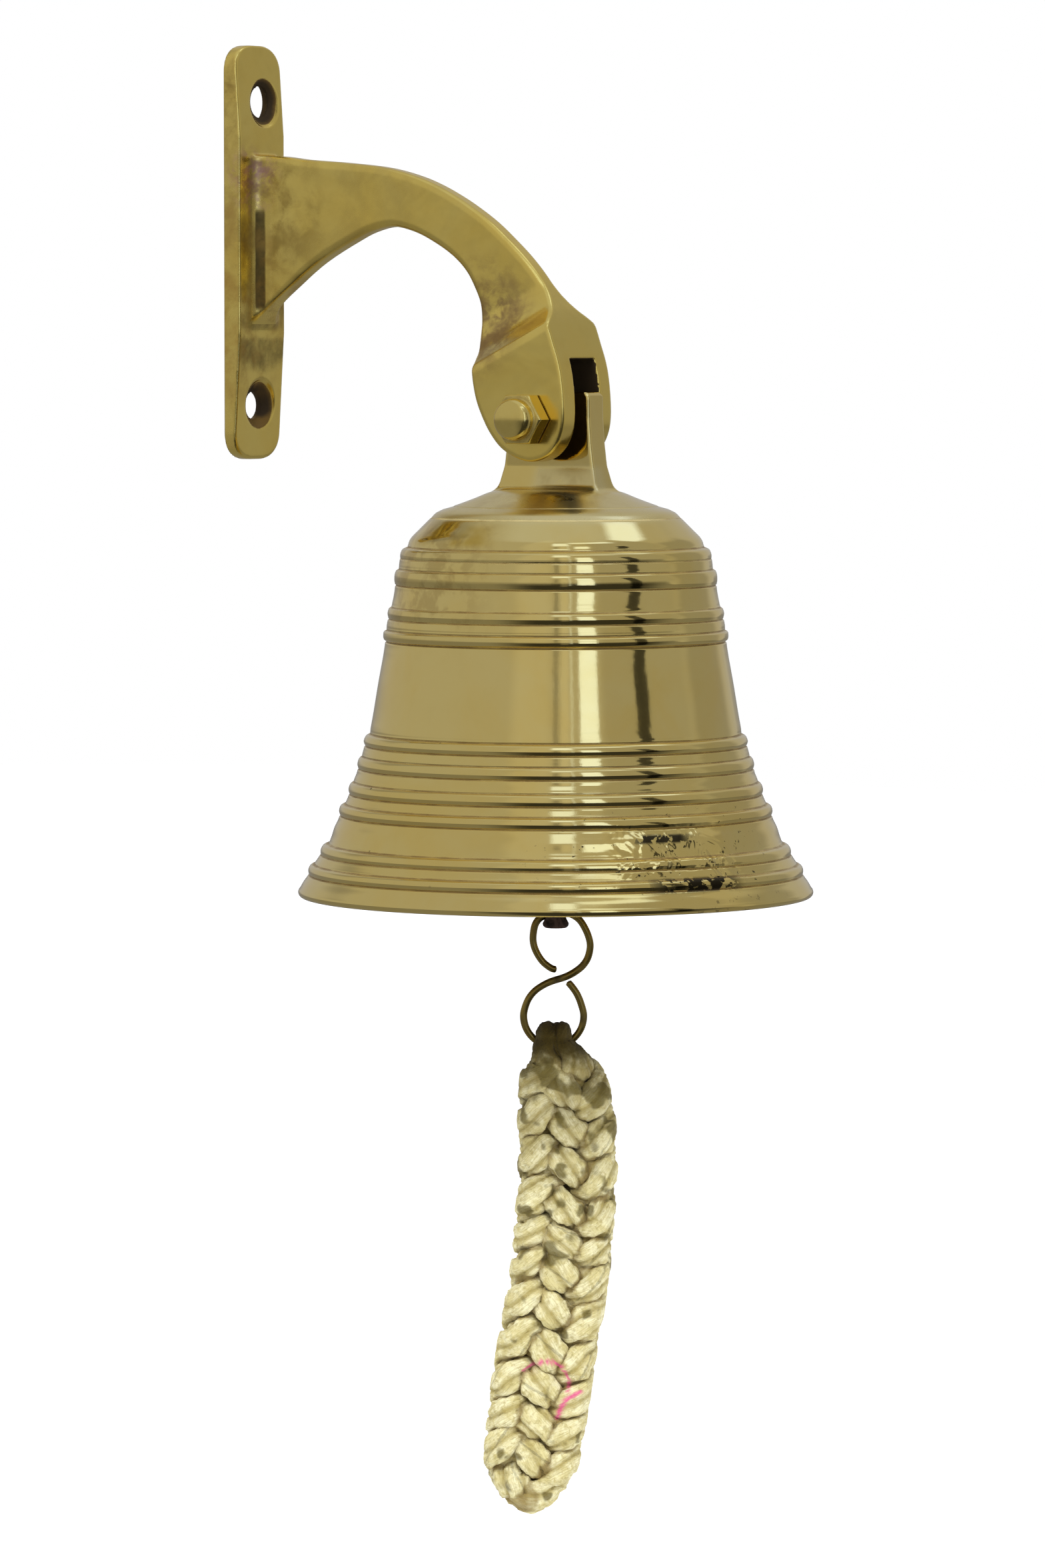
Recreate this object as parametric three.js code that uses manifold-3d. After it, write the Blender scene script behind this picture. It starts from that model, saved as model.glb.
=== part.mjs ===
// Wall-hung ship bell, 152 mm across the mouth: cast bracket with a clevis, pivot bolt and cap nut,
// bell with a lug on its crown, clapper on a staple, S-hook, and a short plaited bell rope.
// Millimetres, +Z up. Origin: centre of the wall plate's back face. +X points away from the wall.
import * as THREE from 'three';
import { mergeVertices } from 'three/addons/utils/BufferGeometryUtils.js';
import Module from 'manifold-3d';

const wasm = await Module();
wasm.setup();

// ---- driving dimensions -------------------------------------------------------------------
const GAP = 0.3;                 // clearance between neighbouring pieces
const PIN_X = 108.5;             // pivot bolt's axis from the wall
const PIN_Z = -49.25;            // pivot bolt's axis below the plate's centre
const PLATE_H = 124.3;           // wall plate height
const PLATE_W = 24.2;            // wall plate width
const PLATE_T = 5.8;             // wall plate thickness in its middle
const PLATE_T_TOP = 3.9;         // thickness at the top end
const PLATE_T_LOW = 3.5;         // thickness at the bottom end
const WEB_T = 7.0;               // arm thickness
const WEB_FILLET = 6.5;          // radius between the arm and the plate
const CLEVIS_W = 27.3;           // across the two cheeks
const SLOT_Y0 = -6.6;            // slot between the cheeks
const SLOT_Y1 = 7.2;
const SLOT_TOP = 17.6;           // top of the slot above the bolt's axis
const BOLT_R = 4.0;              // M8 pivot bolt
const BOLT_HOLE_R = 4.35;
const BELL_Y = 2.6;              // the lug sits against the far cheek
const LUG_HALF_T = 4.3;
const LUG_HOLE_R = 4.5;
const STAPLE_R = 5.5;            // staple ring, centreline
const STAPLE_WIRE = 2.0;
const STAPLE_Z = -42;            // staple ring's centre below the bolt's axis
const LINK_R = 5.6;              // clapper's own ring, centreline
const LINK_WIRE = 1.8;
const ROD_R = 3.2;
const TAIL_R = 3.9;
const TAIL_END = -150.4;
const BALL_R = 15;
const BALL_Z = -117;
const EYE_R = 2.35;              // hole in the clapper's tail
const HOOK_TURN = 32 * Math.PI / 180;   // plane of the S-hook, turned from +X
const HOOK_WIRE = 1.05;
const HOOK_TOP = -146.4;         // top of the hook's centreline
const HOOK_LOW = [-0.6, -176.6]; // centre of the lower loop, (across, up)
const HOOK_LOW_R = 8.9;
const ROPE_T = 17;               // plait thickness
const ROPE_BIGHT_W = 12.4;       // two cords side by side over the hook

// ---- helpers ------------------------------------------------------------------------------
function solid(geometry) {
  let g = geometry.clone();
  g.deleteAttribute('normal');
  g.deleteAttribute('uv');
  g = mergeVertices(g, 1e-4);
  const p = g.getAttribute('position').array;
  const idx = g.getIndex().array;
  const tri = [];
  for (let i = 0; i < idx.length; i += 3) {
    const [a, b, c] = [idx[i], idx[i + 1], idx[i + 2]];
    if (a !== b && b !== c && a !== c) tri.push(a, b, c);
  }
  let vol = 0;
  for (let i = 0; i < tri.length; i += 3) {
    const [a, b, c] = [tri[i] * 3, tri[i + 1] * 3, tri[i + 2] * 3];
    vol += p[a] * (p[b + 1] * p[c + 2] - p[b + 2] * p[c + 1])
         - p[a + 1] * (p[b] * p[c + 2] - p[b + 2] * p[c])
         + p[a + 2] * (p[b] * p[c + 1] - p[b + 1] * p[c]);
  }
  if (vol < 0) for (let i = 0; i < tri.length; i += 3) [tri[i + 1], tri[i + 2]] = [tri[i + 2], tri[i + 1]];
  return new wasm.Manifold(new wasm.Mesh({
    numProp: 3, vertProperties: Float32Array.from(p), triVerts: Uint32Array.from(tri),
  }));
}

function geometryOf(man) {
  const m = man.getMesh();
  const g = new THREE.BufferGeometry();
  g.setAttribute('position', new THREE.BufferAttribute(Float32Array.from(m.vertProperties), 3));
  g.setIndex(new THREE.BufferAttribute(Uint32Array.from(m.triVerts), 1));
  g.computeVertexNormals();
  return g;
}

function shapeOf(points) {
  return new THREE.Shape(points.map(([a, b]) => new THREE.Vector2(a, b)));
}

// an XZ outline, extruded along Y from y0 to y1
function slabXZ(shape, y0, y1, bevel = 0, segments = 2) {
  const g = new THREE.ExtrudeGeometry(shape, {
    depth: y1 - y0 - 2 * bevel, steps: 1, curveSegments: 10, bevelEnabled: bevel > 0,
    bevelThickness: bevel, bevelSize: bevel, bevelOffset: -bevel, bevelSegments: segments,
  });
  g.rotateX(Math.PI / 2);
  g.translate(0, y1 - bevel, 0);
  return g;
}

// a YZ outline, extruded along X from x0 to x1
function slabYZ(shape, x0, x1) {
  const g = new THREE.ExtrudeGeometry(shape, { depth: x1 - x0, steps: 1, curveSegments: 10, bevelEnabled: false });
  g.applyMatrix4(new THREE.Matrix4().set(0, 0, 1, x0, 1, 0, 0, 0, 0, 1, 0, 0, 0, 0, 0, 1));
  return g;
}

// an XY outline, extruded along Z from z0 to z1
function slabXY(shape, z0, z1) {
  const g = new THREE.ExtrudeGeometry(shape, { depth: z1 - z0, steps: 1, curveSegments: 10, bevelEnabled: false });
  g.translate(0, 0, z0);
  return g;
}

// a turned piece about Z, from (radius, height) points
function turned(points, segments) {
  const g = new THREE.LatheGeometry(points.map(([r, z]) => new THREE.Vector2(r, z)), segments);
  g.rotateX(Math.PI / 2);
  return g;
}

// the same about Y: points are (radius, distance along +Y)
function turnedY(points, segments) {
  const g = turned(points, segments);
  g.rotateX(-Math.PI / 2);
  return g;
}

function cylY(r, y0, y1, x, z, segments) {
  const g = new THREE.CylinderGeometry(r, r, y1 - y0, segments);
  g.translate(x, (y0 + y1) / 2, z);
  return g;
}

function smooth(points, count) {
  const c = new THREE.SplineCurve(points.map(([a, b]) => new THREE.Vector2(a, b)));
  return c.getSpacedPoints(count).map((p) => [p.x, p.y]);
}

const BRASS = () => new THREE.MeshStandardMaterial({ color: 0xb59a4e, roughness: 0.25, metalness: 1.0 });
const IRON = () => new THREE.MeshStandardMaterial({ color: 0x3d2a20, roughness: 0.7, metalness: 0.6 });
const COTTON = () => new THREE.MeshStandardMaterial({ color: 0xd9d0b4, roughness: 0.95, metalness: 0.0 });

function mesh(name, geometry, material) {
  const m = new THREE.Mesh(geometry, material);
  m.name = name;
  return m;
}

const object = new THREE.Group();

// ---- wall bracket: plate, arm and clevis in one casting -----------------------------------
const H = PLATE_H / 2;
const W = PLATE_W / 2;

// plate outline across the wall, with rounded ends
const CORNER = 8.0;
const plateOutline = new THREE.Shape();
plateOutline.moveTo(-W, -H + CORNER);
plateOutline.bezierCurveTo(-W, -H + 2.6, -W + 4.2, -H, -2.5, -H);
plateOutline.lineTo(2.5, -H);
plateOutline.bezierCurveTo(W - 4.2, -H, W, -H + 2.6, W, -H + CORNER);
plateOutline.lineTo(W, H - CORNER);
plateOutline.bezierCurveTo(W, H - 2.6, W - 4.2, H, 2.5, H);
plateOutline.lineTo(-2.5, H);
plateOutline.bezierCurveTo(-W + 4.2, H, -W, H - 2.6, -W, H - CORNER);
// plate seen from the side: it thins towards both ends
const plateSide = shapeOf([
  [0, -H - 1], [PLATE_T_LOW, -H - 1], [PLATE_T_LOW + 0.1, -H], [PLATE_T, -H + 38],
  [PLATE_T, H - 27], [PLATE_T_TOP + 0.1, H], [PLATE_T_TOP, H + 1], [0, H + 1],
]);
let bracket = solid(slabYZ(plateOutline, -1, PLATE_T + 1)).intersect(solid(slabXZ(plateSide, -W - 1, W + 1)));

// arm and clevis outline, in (distance from the bolt's axis, height above it)
const outer = smooth([
  [-PIN_X + 1.5, 78.6], [-94.3, 78.0], [-86, 77.0], [-70.7, 75.8], [-55.5, 74.0], [-45, 71.3], [-38.5, 68.8],
  [-33.5, 66.4], [-27.7, 63.2], [-19.5, 57.8], [-12.8, 52.2], [-8.4, 48.2], [-4.4, 44.0], [-1.7, 40.7],
  [0.6, 37.6], [2.9, 34.4], [5.0, 31.4], [7.0, 27.8], [9.1, 22.0], [10.8, 17.0], [11.8, 12.5], [12.5, 6.0],
  [12.6, 0.5], [11.9, -3.8], [9.7, -8.2], [6.2, -11.2], [1.6, -12.4], [-3.2, -11.6], [-9.0, -8.6], [-13.1, -4.0],
  [-15.9, 0.9], [-17.8, 5.5], [-18.9, 10.2], [-19.4, 14.0],
], 54);
const inner = smooth([
  [-19.6, 16.2], [-21.2, 20.2], [-22.3, 24.3], [-22.6, 29.0], [-23.1, 33.7], [-25.2, 38.6], [-28.0, 43.2], [-32.9, 47.9],
  [-40.7, 52.6], [-46.8, 55.2], [-54.4, 56.7], [-62.5, 55.1], [-68.7, 52.4], [-80.4, 46.2], [-89.1, 40.0],
  [-98.0, 33.0], [-102.6, 26.5], [-105.5, 18.5],
], 26);
const armOutline = shapeOf([...outer, ...inner, [-PIN_X + 1.5, 18.5]].map(([x, z]) => [x + PIN_X, z + PIN_Z]));
const CW = CLEVIS_W / 2;
const arm = solid(slabXZ(armOutline, -CW, CW));

// thickness along the arm: thin web above, a slanted step, then the full width of the cheeks.
// s runs square to the step's lower line, t along it.
const SLOPE = 0.506;
const n = Math.hypot(1, SLOPE);
const stepProfile = shapeOf([
  [-CW, -80], [CW, -80], [CW, 0], [WEB_T / 2 + 0.4, 7.0], [WEB_T / 2, 8.2], [WEB_T / 2, 140],
  [-WEB_T / 2, 140], [-WEB_T / 2, 8.2], [-WEB_T / 2 - 0.4, 7.0], [-CW, 0],
]);
const stepPrism = new THREE.ExtrudeGeometry(stepProfile, { depth: 400, steps: 1, bevelEnabled: false });
// (y, s, t) to (X, Y, Z)
const tx = 1 / n, tz = SLOPE / n, sx = -SLOPE / n, sz = 1 / n;
const ox = PIN_X, oz = PIN_Z + 24.6;
stepPrism.translate(0, 0, -200);
stepPrism.applyMatrix4(new THREE.Matrix4().set(
  0, sx, tx, ox,
  1, 0, 0, 0,
  0, sz, tz, oz,
  0, 0, 0, 1));
bracket = bracket.add(arm.intersect(solid(stepPrism)));

// concave fillets on both sides of the arm, where it meets the plate
const fil = [[0.5, 0], [PLATE_T + WEB_FILLET, 0], [PLATE_T + WEB_FILLET, WEB_T / 2]];
for (let i = 1; i <= 6; i++) {
  const a = (Math.PI / 2) * (i / 6);
  fil.push([PLATE_T + WEB_FILLET - WEB_FILLET * Math.sin(a), WEB_T / 2 + WEB_FILLET * (1 - Math.cos(a))]);
}
fil.push([0.5, WEB_T / 2 + WEB_FILLET]);
const filletBoth = solid(slabXY(shapeOf(fil), PIN_Z + 16, PIN_Z + 82))
  .add(solid(slabXY(shapeOf(fil.map(([x, y]) => [x, -y]).reverse()), PIN_Z + 16, PIN_Z + 82)));
bracket = bracket.add(filletBoth.intersect(solid(slabXZ(armOutline, -W, W))));

// slot for the lug, bolt holes, and the two countersunk screw holes
const slot = new THREE.BoxGeometry(80, SLOT_Y1 - SLOT_Y0, SLOT_TOP + 40);
slot.translate(PIN_X, (SLOT_Y0 + SLOT_Y1) / 2, PIN_Z + (SLOT_TOP - 40) / 2);
bracket = bracket.subtract(solid(slot));
bracket = bracket.subtract(solid(cylY(BOLT_HOLE_R, -CW - 2, CW + 2, PIN_X, PIN_Z, 24)));
function screwHole(y, z, face, throat, throatDepth, backR) {
  // (radius, distance from the wall): back relief, throat, countersink
  const g = turned([
    [0, -1], [backR, -1], [backR, face - throatDepth - 0.9], [throat, face - throatDepth], [7.7, face + 0.05], [8.4, face + 3], [0, face + 3],
  ], 24);
  g.rotateY(Math.PI / 2);
  g.translate(0, y, z);
  return solid(g);
}
bracket = bracket.subtract(screwHole(2.1, 45.35, 5.15, 4.4, 2.1, 6.2));
bracket = bracket.subtract(screwHole(0.4, -45.95, 4.5, 4.1, 2.6, 4.1));
object.add(mesh('wall_bracket', geometryOf(bracket), BRASS()));

// ---- pivot bolt and cap nut ---------------------------------------------------------------
const pivot = new THREE.Group();
pivot.position.set(PIN_X, 0, PIN_Z);
object.add(pivot);
const HEAD_Y = CW + GAP;
const boltProfile = [
  [0, -CW - 7.2], [BOLT_R - 0.8, -CW - 7.2], [BOLT_R, -CW - 6.4], [BOLT_R, HEAD_Y],
  [8.2, HEAD_Y], [8.2, HEAD_Y + 5.2], [7.6, HEAD_Y + 7.4], [5.6, HEAD_Y + 8.9], [2.6, HEAD_Y + 9.5], [0, HEAD_Y + 9.6],
];
pivot.add(mesh('pivot_bolt', geometryOf(solid(turnedY(boltProfile, 24))), BRASS()));

const NUT_Y = -CW - GAP;
const hex = new THREE.CylinderGeometry(8.2, 8.2, 5.4, 6);
hex.rotateY(Math.PI / 6);
hex.translate(0, NUT_Y - 2.7, 0);
// chamfered outer corners, then a low round cap
const hexTrim = turnedY([[0, NUT_Y + 1], [9, NUT_Y + 1], [9, NUT_Y - 4.2], [7.3, NUT_Y - 5.6], [0, NUT_Y - 5.6]], 24);
const cap = turnedY([
  [0, NUT_Y - 4], [6.2, NUT_Y - 4], [6.2, NUT_Y - 8.3], [5.7, NUT_Y - 9.3], [4.2, NUT_Y - 9.9], [0, NUT_Y - 10.2],
], 24);
let nut = solid(hex).intersect(solid(hexTrim)).add(solid(cap));
nut = nut.subtract(solid(cylY(BOLT_R + GAP, NUT_Y - 7.6, NUT_Y + 1, 0, 0, 24)));
pivot.add(mesh('pivot_cap_nut', geometryOf(nut), BRASS()));

// ---- everything below hangs on the bell's axis ---------------------------------------------
const hung = new THREE.Group();
hung.position.set(PIN_X, BELL_Y, PIN_Z);
object.add(hung);

// bell: turned body (radius, height from the bolt's axis), crown to rim and back up inside
const bellOuter = [
  [0, -20.6], [16, -20.9], [20, -21.9], [28, -24.9], [33, -26.5], [35.3, -26.9], [36.4, -28.9],
  [38.3, -30.7], [41.7, -34.1], [44.0, -37.5], [45.5, -38.8], [46.1, -42.0], [46.6, -44.0], [47.5, -45.6],
  [47.7, -48.6], [47.6, -51.0], [48.5, -54.8], [49.5, -56.0], [49.6, -58.5], [50.2, -62.0], [50.9, -63.2],
  [50.9, -64.8], [50.4, -65.7], [51.1, -70.7], [52.4, -77.8], [53.7, -85.6], [54.5, -90.2], [55.3, -92.6],
  [56.6, -94.2], [56.6, -96.3], [57.6, -99.4], [58.6, -101.0], [58.6, -103.2], [60.1, -106.9], [61.2, -108.6],
  [61.3, -110.7], [62.6, -113.2], [64.0, -114.6], [64.0, -116.9], [65.4, -120.4], [67.3, -124.9], [69.4, -126.6],
  [69.9, -128.6], [71.7, -131.0], [73.1, -132.6], [73.3, -134.4], [74.9, -136.9], [76.2, -139.4], [75.9, -140.4],
  [74.9, -140.9],
];
const bellInner = [
  [72.6, -140.6], [69.4, -136.8], [65.0, -131.0], [60.8, -124.0], [57.4, -115.0], [54.0, -104.0], [50.7, -92.0],
  [48.0, -78.0], [45.7, -62.0], [43.1, -48.0], [41.3, -41.0], [38.3, -36.4], [33.5, -33.2], [26.0, -31.0],
  [14.0, -30.2], [11.0, -30.6], [9.6, -34.0], [0, -34.0],
];
let bell = solid(turned([...bellOuter, ...bellInner], 40));
// lug: wider and thicker where it runs into the crown
const lugFront = shapeOf([
  [-19.4, -24], [-18.0, -21.6], [-16.7, -18.6], [-15.4, -13.4], [-14.6, -7.0], [-14.1, 0], [-14.0, 6.6], [-12.6, 8.2],
  [12.6, 8.2], [14.0, 6.6], [14.1, 0], [14.6, -7.0], [15.4, -13.4], [16.7, -18.6], [18.0, -21.6], [19.4, -24],
]);
const T = LUG_HALF_T;
const lugSide = shapeOf([
  [-8.4, -24], [-6.4, -22.0], [-5.1, -19.4], [-T, -14.2], [-T, 8.2], [T, 8.2], [T, -14.2], [5.1, -19.4], [6.4, -22.0], [8.4, -24],
]);
bell = bell.add(solid(slabXZ(lugFront, -9, 9)).intersect(solid(slabYZ(lugSide, -22, 22))));
bell = bell.subtract(solid(cylY(LUG_HOLE_R, -12, 12, 0, 0, 24)));
const tap = new THREE.CylinderGeometry(ROD_R + GAP + 0.1, ROD_R + GAP + 0.1, 12, 20);
tap.rotateX(Math.PI / 2);
tap.translate(0, 0, -25.6 - 6);
bell = bell.subtract(solid(tap));
hung.add(mesh('bell', geometryOf(bell), BRASS()));

// staple: a ring on a shank let into the boss under the crown
const ring = new THREE.TorusGeometry(STAPLE_R, STAPLE_WIRE, 10, 24);
ring.rotateX(Math.PI / 2);
ring.translate(0, 0, STAPLE_Z);
const shank = new THREE.CylinderGeometry(ROD_R, ROD_R, 10.6, 16);
shank.rotateX(Math.PI / 2);
shank.translate(0, 0, -26.0 - 5.3);
hung.add(mesh('clapper_staple', geometryOf(solid(ring).add(solid(shank))), BRASS()));

// clapper: ring, rod and tail forged in one, with a hole through the tail for the hook
const pivotZ = STAPLE_Z - STAPLE_R;
const linkZ = pivotZ - (LINK_R - LINK_WIRE - STAPLE_WIRE - GAP);
const link = new THREE.TorusGeometry(LINK_R, LINK_WIRE, 10, 24);
link.rotateY(Math.PI / 2);
link.translate(0, 0, linkZ);
const rod = turned([
  [0, linkZ - LINK_R + 0.9], [2.0, linkZ - LINK_R + 0.3], [ROD_R, linkZ - LINK_R - 2.4], [ROD_R, -134], [TAIL_R, -138],
  [TAIL_R, TAIL_END + 2.6], [3.2, TAIL_END + 0.9], [1.7, TAIL_END + 0.1], [0, TAIL_END],
], 20);
const eye = new THREE.CylinderGeometry(EYE_R, EYE_R, 14, 18);
eye.rotateZ(Math.PI / 2);
eye.rotateZ(HOOK_TURN);
eye.translate(0, 0, HOOK_TOP);
hung.add(mesh('clapper_rod', geometryOf(solid(link).add(solid(rod)).subtract(solid(eye))), IRON()));

const ballGeo = new THREE.SphereGeometry(BALL_R, 24, 16);
ballGeo.rotateX(Math.PI / 2);
ballGeo.translate(0, 0, BALL_Z);
const ballHole = new THREE.CylinderGeometry(ROD_R + GAP, ROD_R + GAP, 40, 20);
ballHole.rotateX(Math.PI / 2);
ballHole.translate(0, 0, BALL_Z);
hung.add(mesh('clapper_ball', geometryOf(solid(ballGeo).subtract(solid(ballHole))), IRON()));

// S-hook: one length of wire, bent flat into two nearly closed loops
const hookPlane = new THREE.Group();
hookPlane.rotation.z = HOOK_TURN;
hung.add(hookPlane);
const path = [
  [0.3, -162.75], [-0.95, -162.55], [-2.3, -161.75], [-3.77, -160.5], [-5.15, -158.6], [-6.2, -156.4], [-6.68, -154.2],
  [-6.6, -151.9], [-6.0, -149.3], [-4.75, -147.6], [-2.5, -146.5], [0.2, HOOK_TOP + 0.4], [3.0, -145.95], [5.35, -146.75],
  [7.1, -148.1], [8.55, -150.3], [9.65, -152.8], [10.2, -155.25], [10.0, -157.5], [9.3, -159.7], [7.9, -161.7],
  [5.8, -163.4], [3.87, -164.5], [1.9, -165.3], [-0.1, -165.9], [-2.05, -166.6], [-4.0, -167.6], [-6.0, -169.0], [-7.6, -170.8],
];
for (let a = 155; a <= 385; a += 23) {
  const t = a * Math.PI / 180;
  path.push([HOOK_LOW[0] + HOOK_LOW_R * Math.cos(t), HOOK_LOW[1] + HOOK_LOW_R * Math.sin(t)]);
}
path.push([6.9, -171.3], [6.05, -169.6], [4.8, -167.85], [3.55, -166.4]);
const hookCurve = new THREE.CatmullRomCurve3(path.map(([h, z]) => new THREE.Vector3(h, 0, z)), false, 'centripetal');
const wireSection = new THREE.Shape();
for (let i = 0; i < 10; i++) {
  const a = 2 * Math.PI * i / 10;
  const [x, y] = [HOOK_WIRE * Math.cos(a), HOOK_WIRE * Math.sin(a)];
  if (i === 0) wireSection.moveTo(x, y); else wireSection.lineTo(x, y);
}
const hookGeo = new THREE.ExtrudeGeometry(wireSection, { steps: 84, bevelEnabled: false, extrudePath: hookCurve });
hookPlane.add(mesh('s_hook', geometryOf(solid(hookGeo)), BRASS()));

// bell rope: two cords middled over the hook, then plaited; a plain solid of the plait's outer shape
const ropeMid = [
  [-183.4, -0.4, 8.2], [-188.5, 0.9, 11.0], [-194.1, 2.4, 13.2], [-202.4, 3.0, 14.7], [-216.4, 3.6, 15.1],
  [-227.5, 3.7, 15.4], [-238, 2.6, 15.4], [-250, 1.6, 15.3], [-261, -0.1, 15.5], [-272, -1.9, 15.7],
  [-283.3, -3.8, 15.5], [-294, -5.2, 15.4], [-303, -6.6, 15.2], [-311, -7.2, 14.4], [-316.8, -7.4, 12.6],
  [-321, -7.5, 9.6], [-323.4, -7.6, 5.0],
];
const ropeOutline = shapeOf([
  ...ropeMid.map(([z, m, w]) => [m + w, z]),
  ...ropeMid.slice().reverse().map(([z, m, w]) => [m - w, z]),
]);
let rope = solid(slabXZ(ropeOutline, -ROPE_T / 2, ROPE_T / 2, 4.5, 3));
// bight over the hook's lower loop
const LOW_Z = HOOK_LOW[1] - HOOK_LOW_R;
const bightShape = new THREE.Shape();
bightShape.moveTo(-6.9, LOW_Z - 6);
bightShape.lineTo(6.9, LOW_Z - 6);
bightShape.lineTo(6.9, LOW_Z - 0.3);
for (let i = 1; i < 8; i++) {
  const a = Math.PI * i / 8;
  bightShape.lineTo(6.9 * Math.cos(a), LOW_Z - 0.3 + 7.1 * Math.sin(a));
}
bightShape.lineTo(-6.9, LOW_Z - 0.3);
rope = rope.add(solid(slabYZ(bightShape, HOOK_LOW[0] - ROPE_BIGHT_W / 2, HOOK_LOW[0] + ROPE_BIGHT_W / 2)));
const channel = new THREE.TorusGeometry(HOOK_LOW_R, HOOK_WIRE + 0.4, 10, 48);
channel.rotateX(Math.PI / 2);
channel.translate(HOOK_LOW[0], 0, HOOK_LOW[1]);
rope = rope.subtract(solid(channel));
hookPlane.add(mesh('bell_rope', geometryOf(rope), COTTON()));

export default object;
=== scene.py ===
import bpy
import math
import numpy as np
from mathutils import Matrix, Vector


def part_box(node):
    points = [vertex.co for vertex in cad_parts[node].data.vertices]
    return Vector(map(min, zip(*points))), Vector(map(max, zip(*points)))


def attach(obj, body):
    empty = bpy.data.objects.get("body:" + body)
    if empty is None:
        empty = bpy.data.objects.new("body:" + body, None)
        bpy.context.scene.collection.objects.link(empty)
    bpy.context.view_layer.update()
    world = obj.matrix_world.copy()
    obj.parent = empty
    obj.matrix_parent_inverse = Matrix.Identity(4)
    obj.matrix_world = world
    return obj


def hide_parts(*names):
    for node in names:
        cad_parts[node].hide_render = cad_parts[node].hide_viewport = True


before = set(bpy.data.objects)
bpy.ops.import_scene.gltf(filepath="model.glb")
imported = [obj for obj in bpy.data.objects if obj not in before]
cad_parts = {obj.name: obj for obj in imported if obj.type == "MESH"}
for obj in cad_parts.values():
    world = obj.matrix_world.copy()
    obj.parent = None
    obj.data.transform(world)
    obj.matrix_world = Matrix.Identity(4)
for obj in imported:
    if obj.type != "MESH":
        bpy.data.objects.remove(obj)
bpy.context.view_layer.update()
SC = bpy.context.scene

# ---------------------------------------------------------------- places, in mm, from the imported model
_lo, _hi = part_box("pivot_bolt")
PINX, PINZ = 500.0 * (_lo.x + _hi.x), 500.0 * (_lo.z + _hi.z)
_lo, _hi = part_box("clapper_ball")
BELLY = 500.0 * (_lo.y + _hi.y)
_lo, _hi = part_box("wall_bracket")
PH = 1000.0 * _hi.z            # half the plate's height
CW = 1000.0 * _hi.y            # half the clevis width
TH = math.radians(32.0)        # plane of the hook and rope, turned from +X
CT, ST = math.cos(TH), math.sin(TH)

# ---------------------------------------------------------------- camera
cd = bpy.data.cameras.new("camera")
cam = bpy.data.objects.new("camera", cd)
SC.collection.objects.link(cam)
cd.sensor_fit = "AUTO"
cd.sensor_width = 36.0
cd.lens = 160.7
cd.clip_start, cd.clip_end = 0.05, 60.0
YAW, PITCH = math.atan(50 / 10500), math.atan(691 / 10500)
DIST = 2063.0
cam.location = Vector((PINX + DIST * ST, BELLY - DIST * CT, PINZ + 28.0)) / 1000.0
_a = TH + YAW
_fw = Vector((-math.sin(_a) * math.cos(PITCH), math.cos(_a) * math.cos(PITCH), -math.sin(PITCH)))
cam.rotation_mode = "QUATERNION"
cam.rotation_quaternion = _fw.to_track_quat("-Z", "Y")
SC.camera = cam

# ---------------------------------------------------------------- mesh helpers
RNG = np.random.default_rng(7)


def to_mesh(name, verts, quads, body, replaces=(), slot=None, normals=None, attrs=None, mat=None, tris=None):
    """A mesh object from points in mm."""
    v = np.asarray(verts, np.float32) / 1000.0
    q = np.asarray(quads, np.int32).reshape(-1, 4)
    t = np.zeros((0, 3), np.int32) if tris is None else np.asarray(tris, np.int32).reshape(-1, 3)
    me = bpy.data.meshes.new(name)
    me.vertices.add(len(v))
    me.vertices.foreach_set("co", v.ravel())
    loops = np.concatenate([q.ravel(), t.ravel()])
    me.loops.add(len(loops))
    me.loops.foreach_set("vertex_index", loops)
    starts = np.concatenate([np.arange(len(q)) * 4, len(q) * 4 + np.arange(len(t)) * 3]).astype(np.int32)
    me.polygons.add(len(starts))
    me.polygons.foreach_set("loop_start", starts)
    me.polygons.foreach_set("use_smooth", np.ones(len(starts), bool))
    me.update(calc_edges=True)
    me.validate(clean_customdata=False)
    for key, val in (attrs or {}).items():
        val = np.asarray(val, np.float32)
        kind = "FLOAT" if val.ndim == 1 else "FLOAT_VECTOR"
        a = me.attributes.new(key, kind, "POINT")
        a.data.foreach_set("value" if val.ndim == 1 else "vector", val.ravel())
    if normals is not None:
        n = np.asarray(normals, float)
        n /= np.maximum(np.linalg.norm(n, axis=1, keepdims=True), 1e-9)
        me.normals_split_custom_set_from_vertices(n.tolist())
    o = bpy.data.objects.new(name, me)
    SC.collection.objects.link(o)
    if mat is not None:
        me.materials.append(mat)
    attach(o, body)
    if replaces:
        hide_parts(*replaces)
    return o


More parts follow.
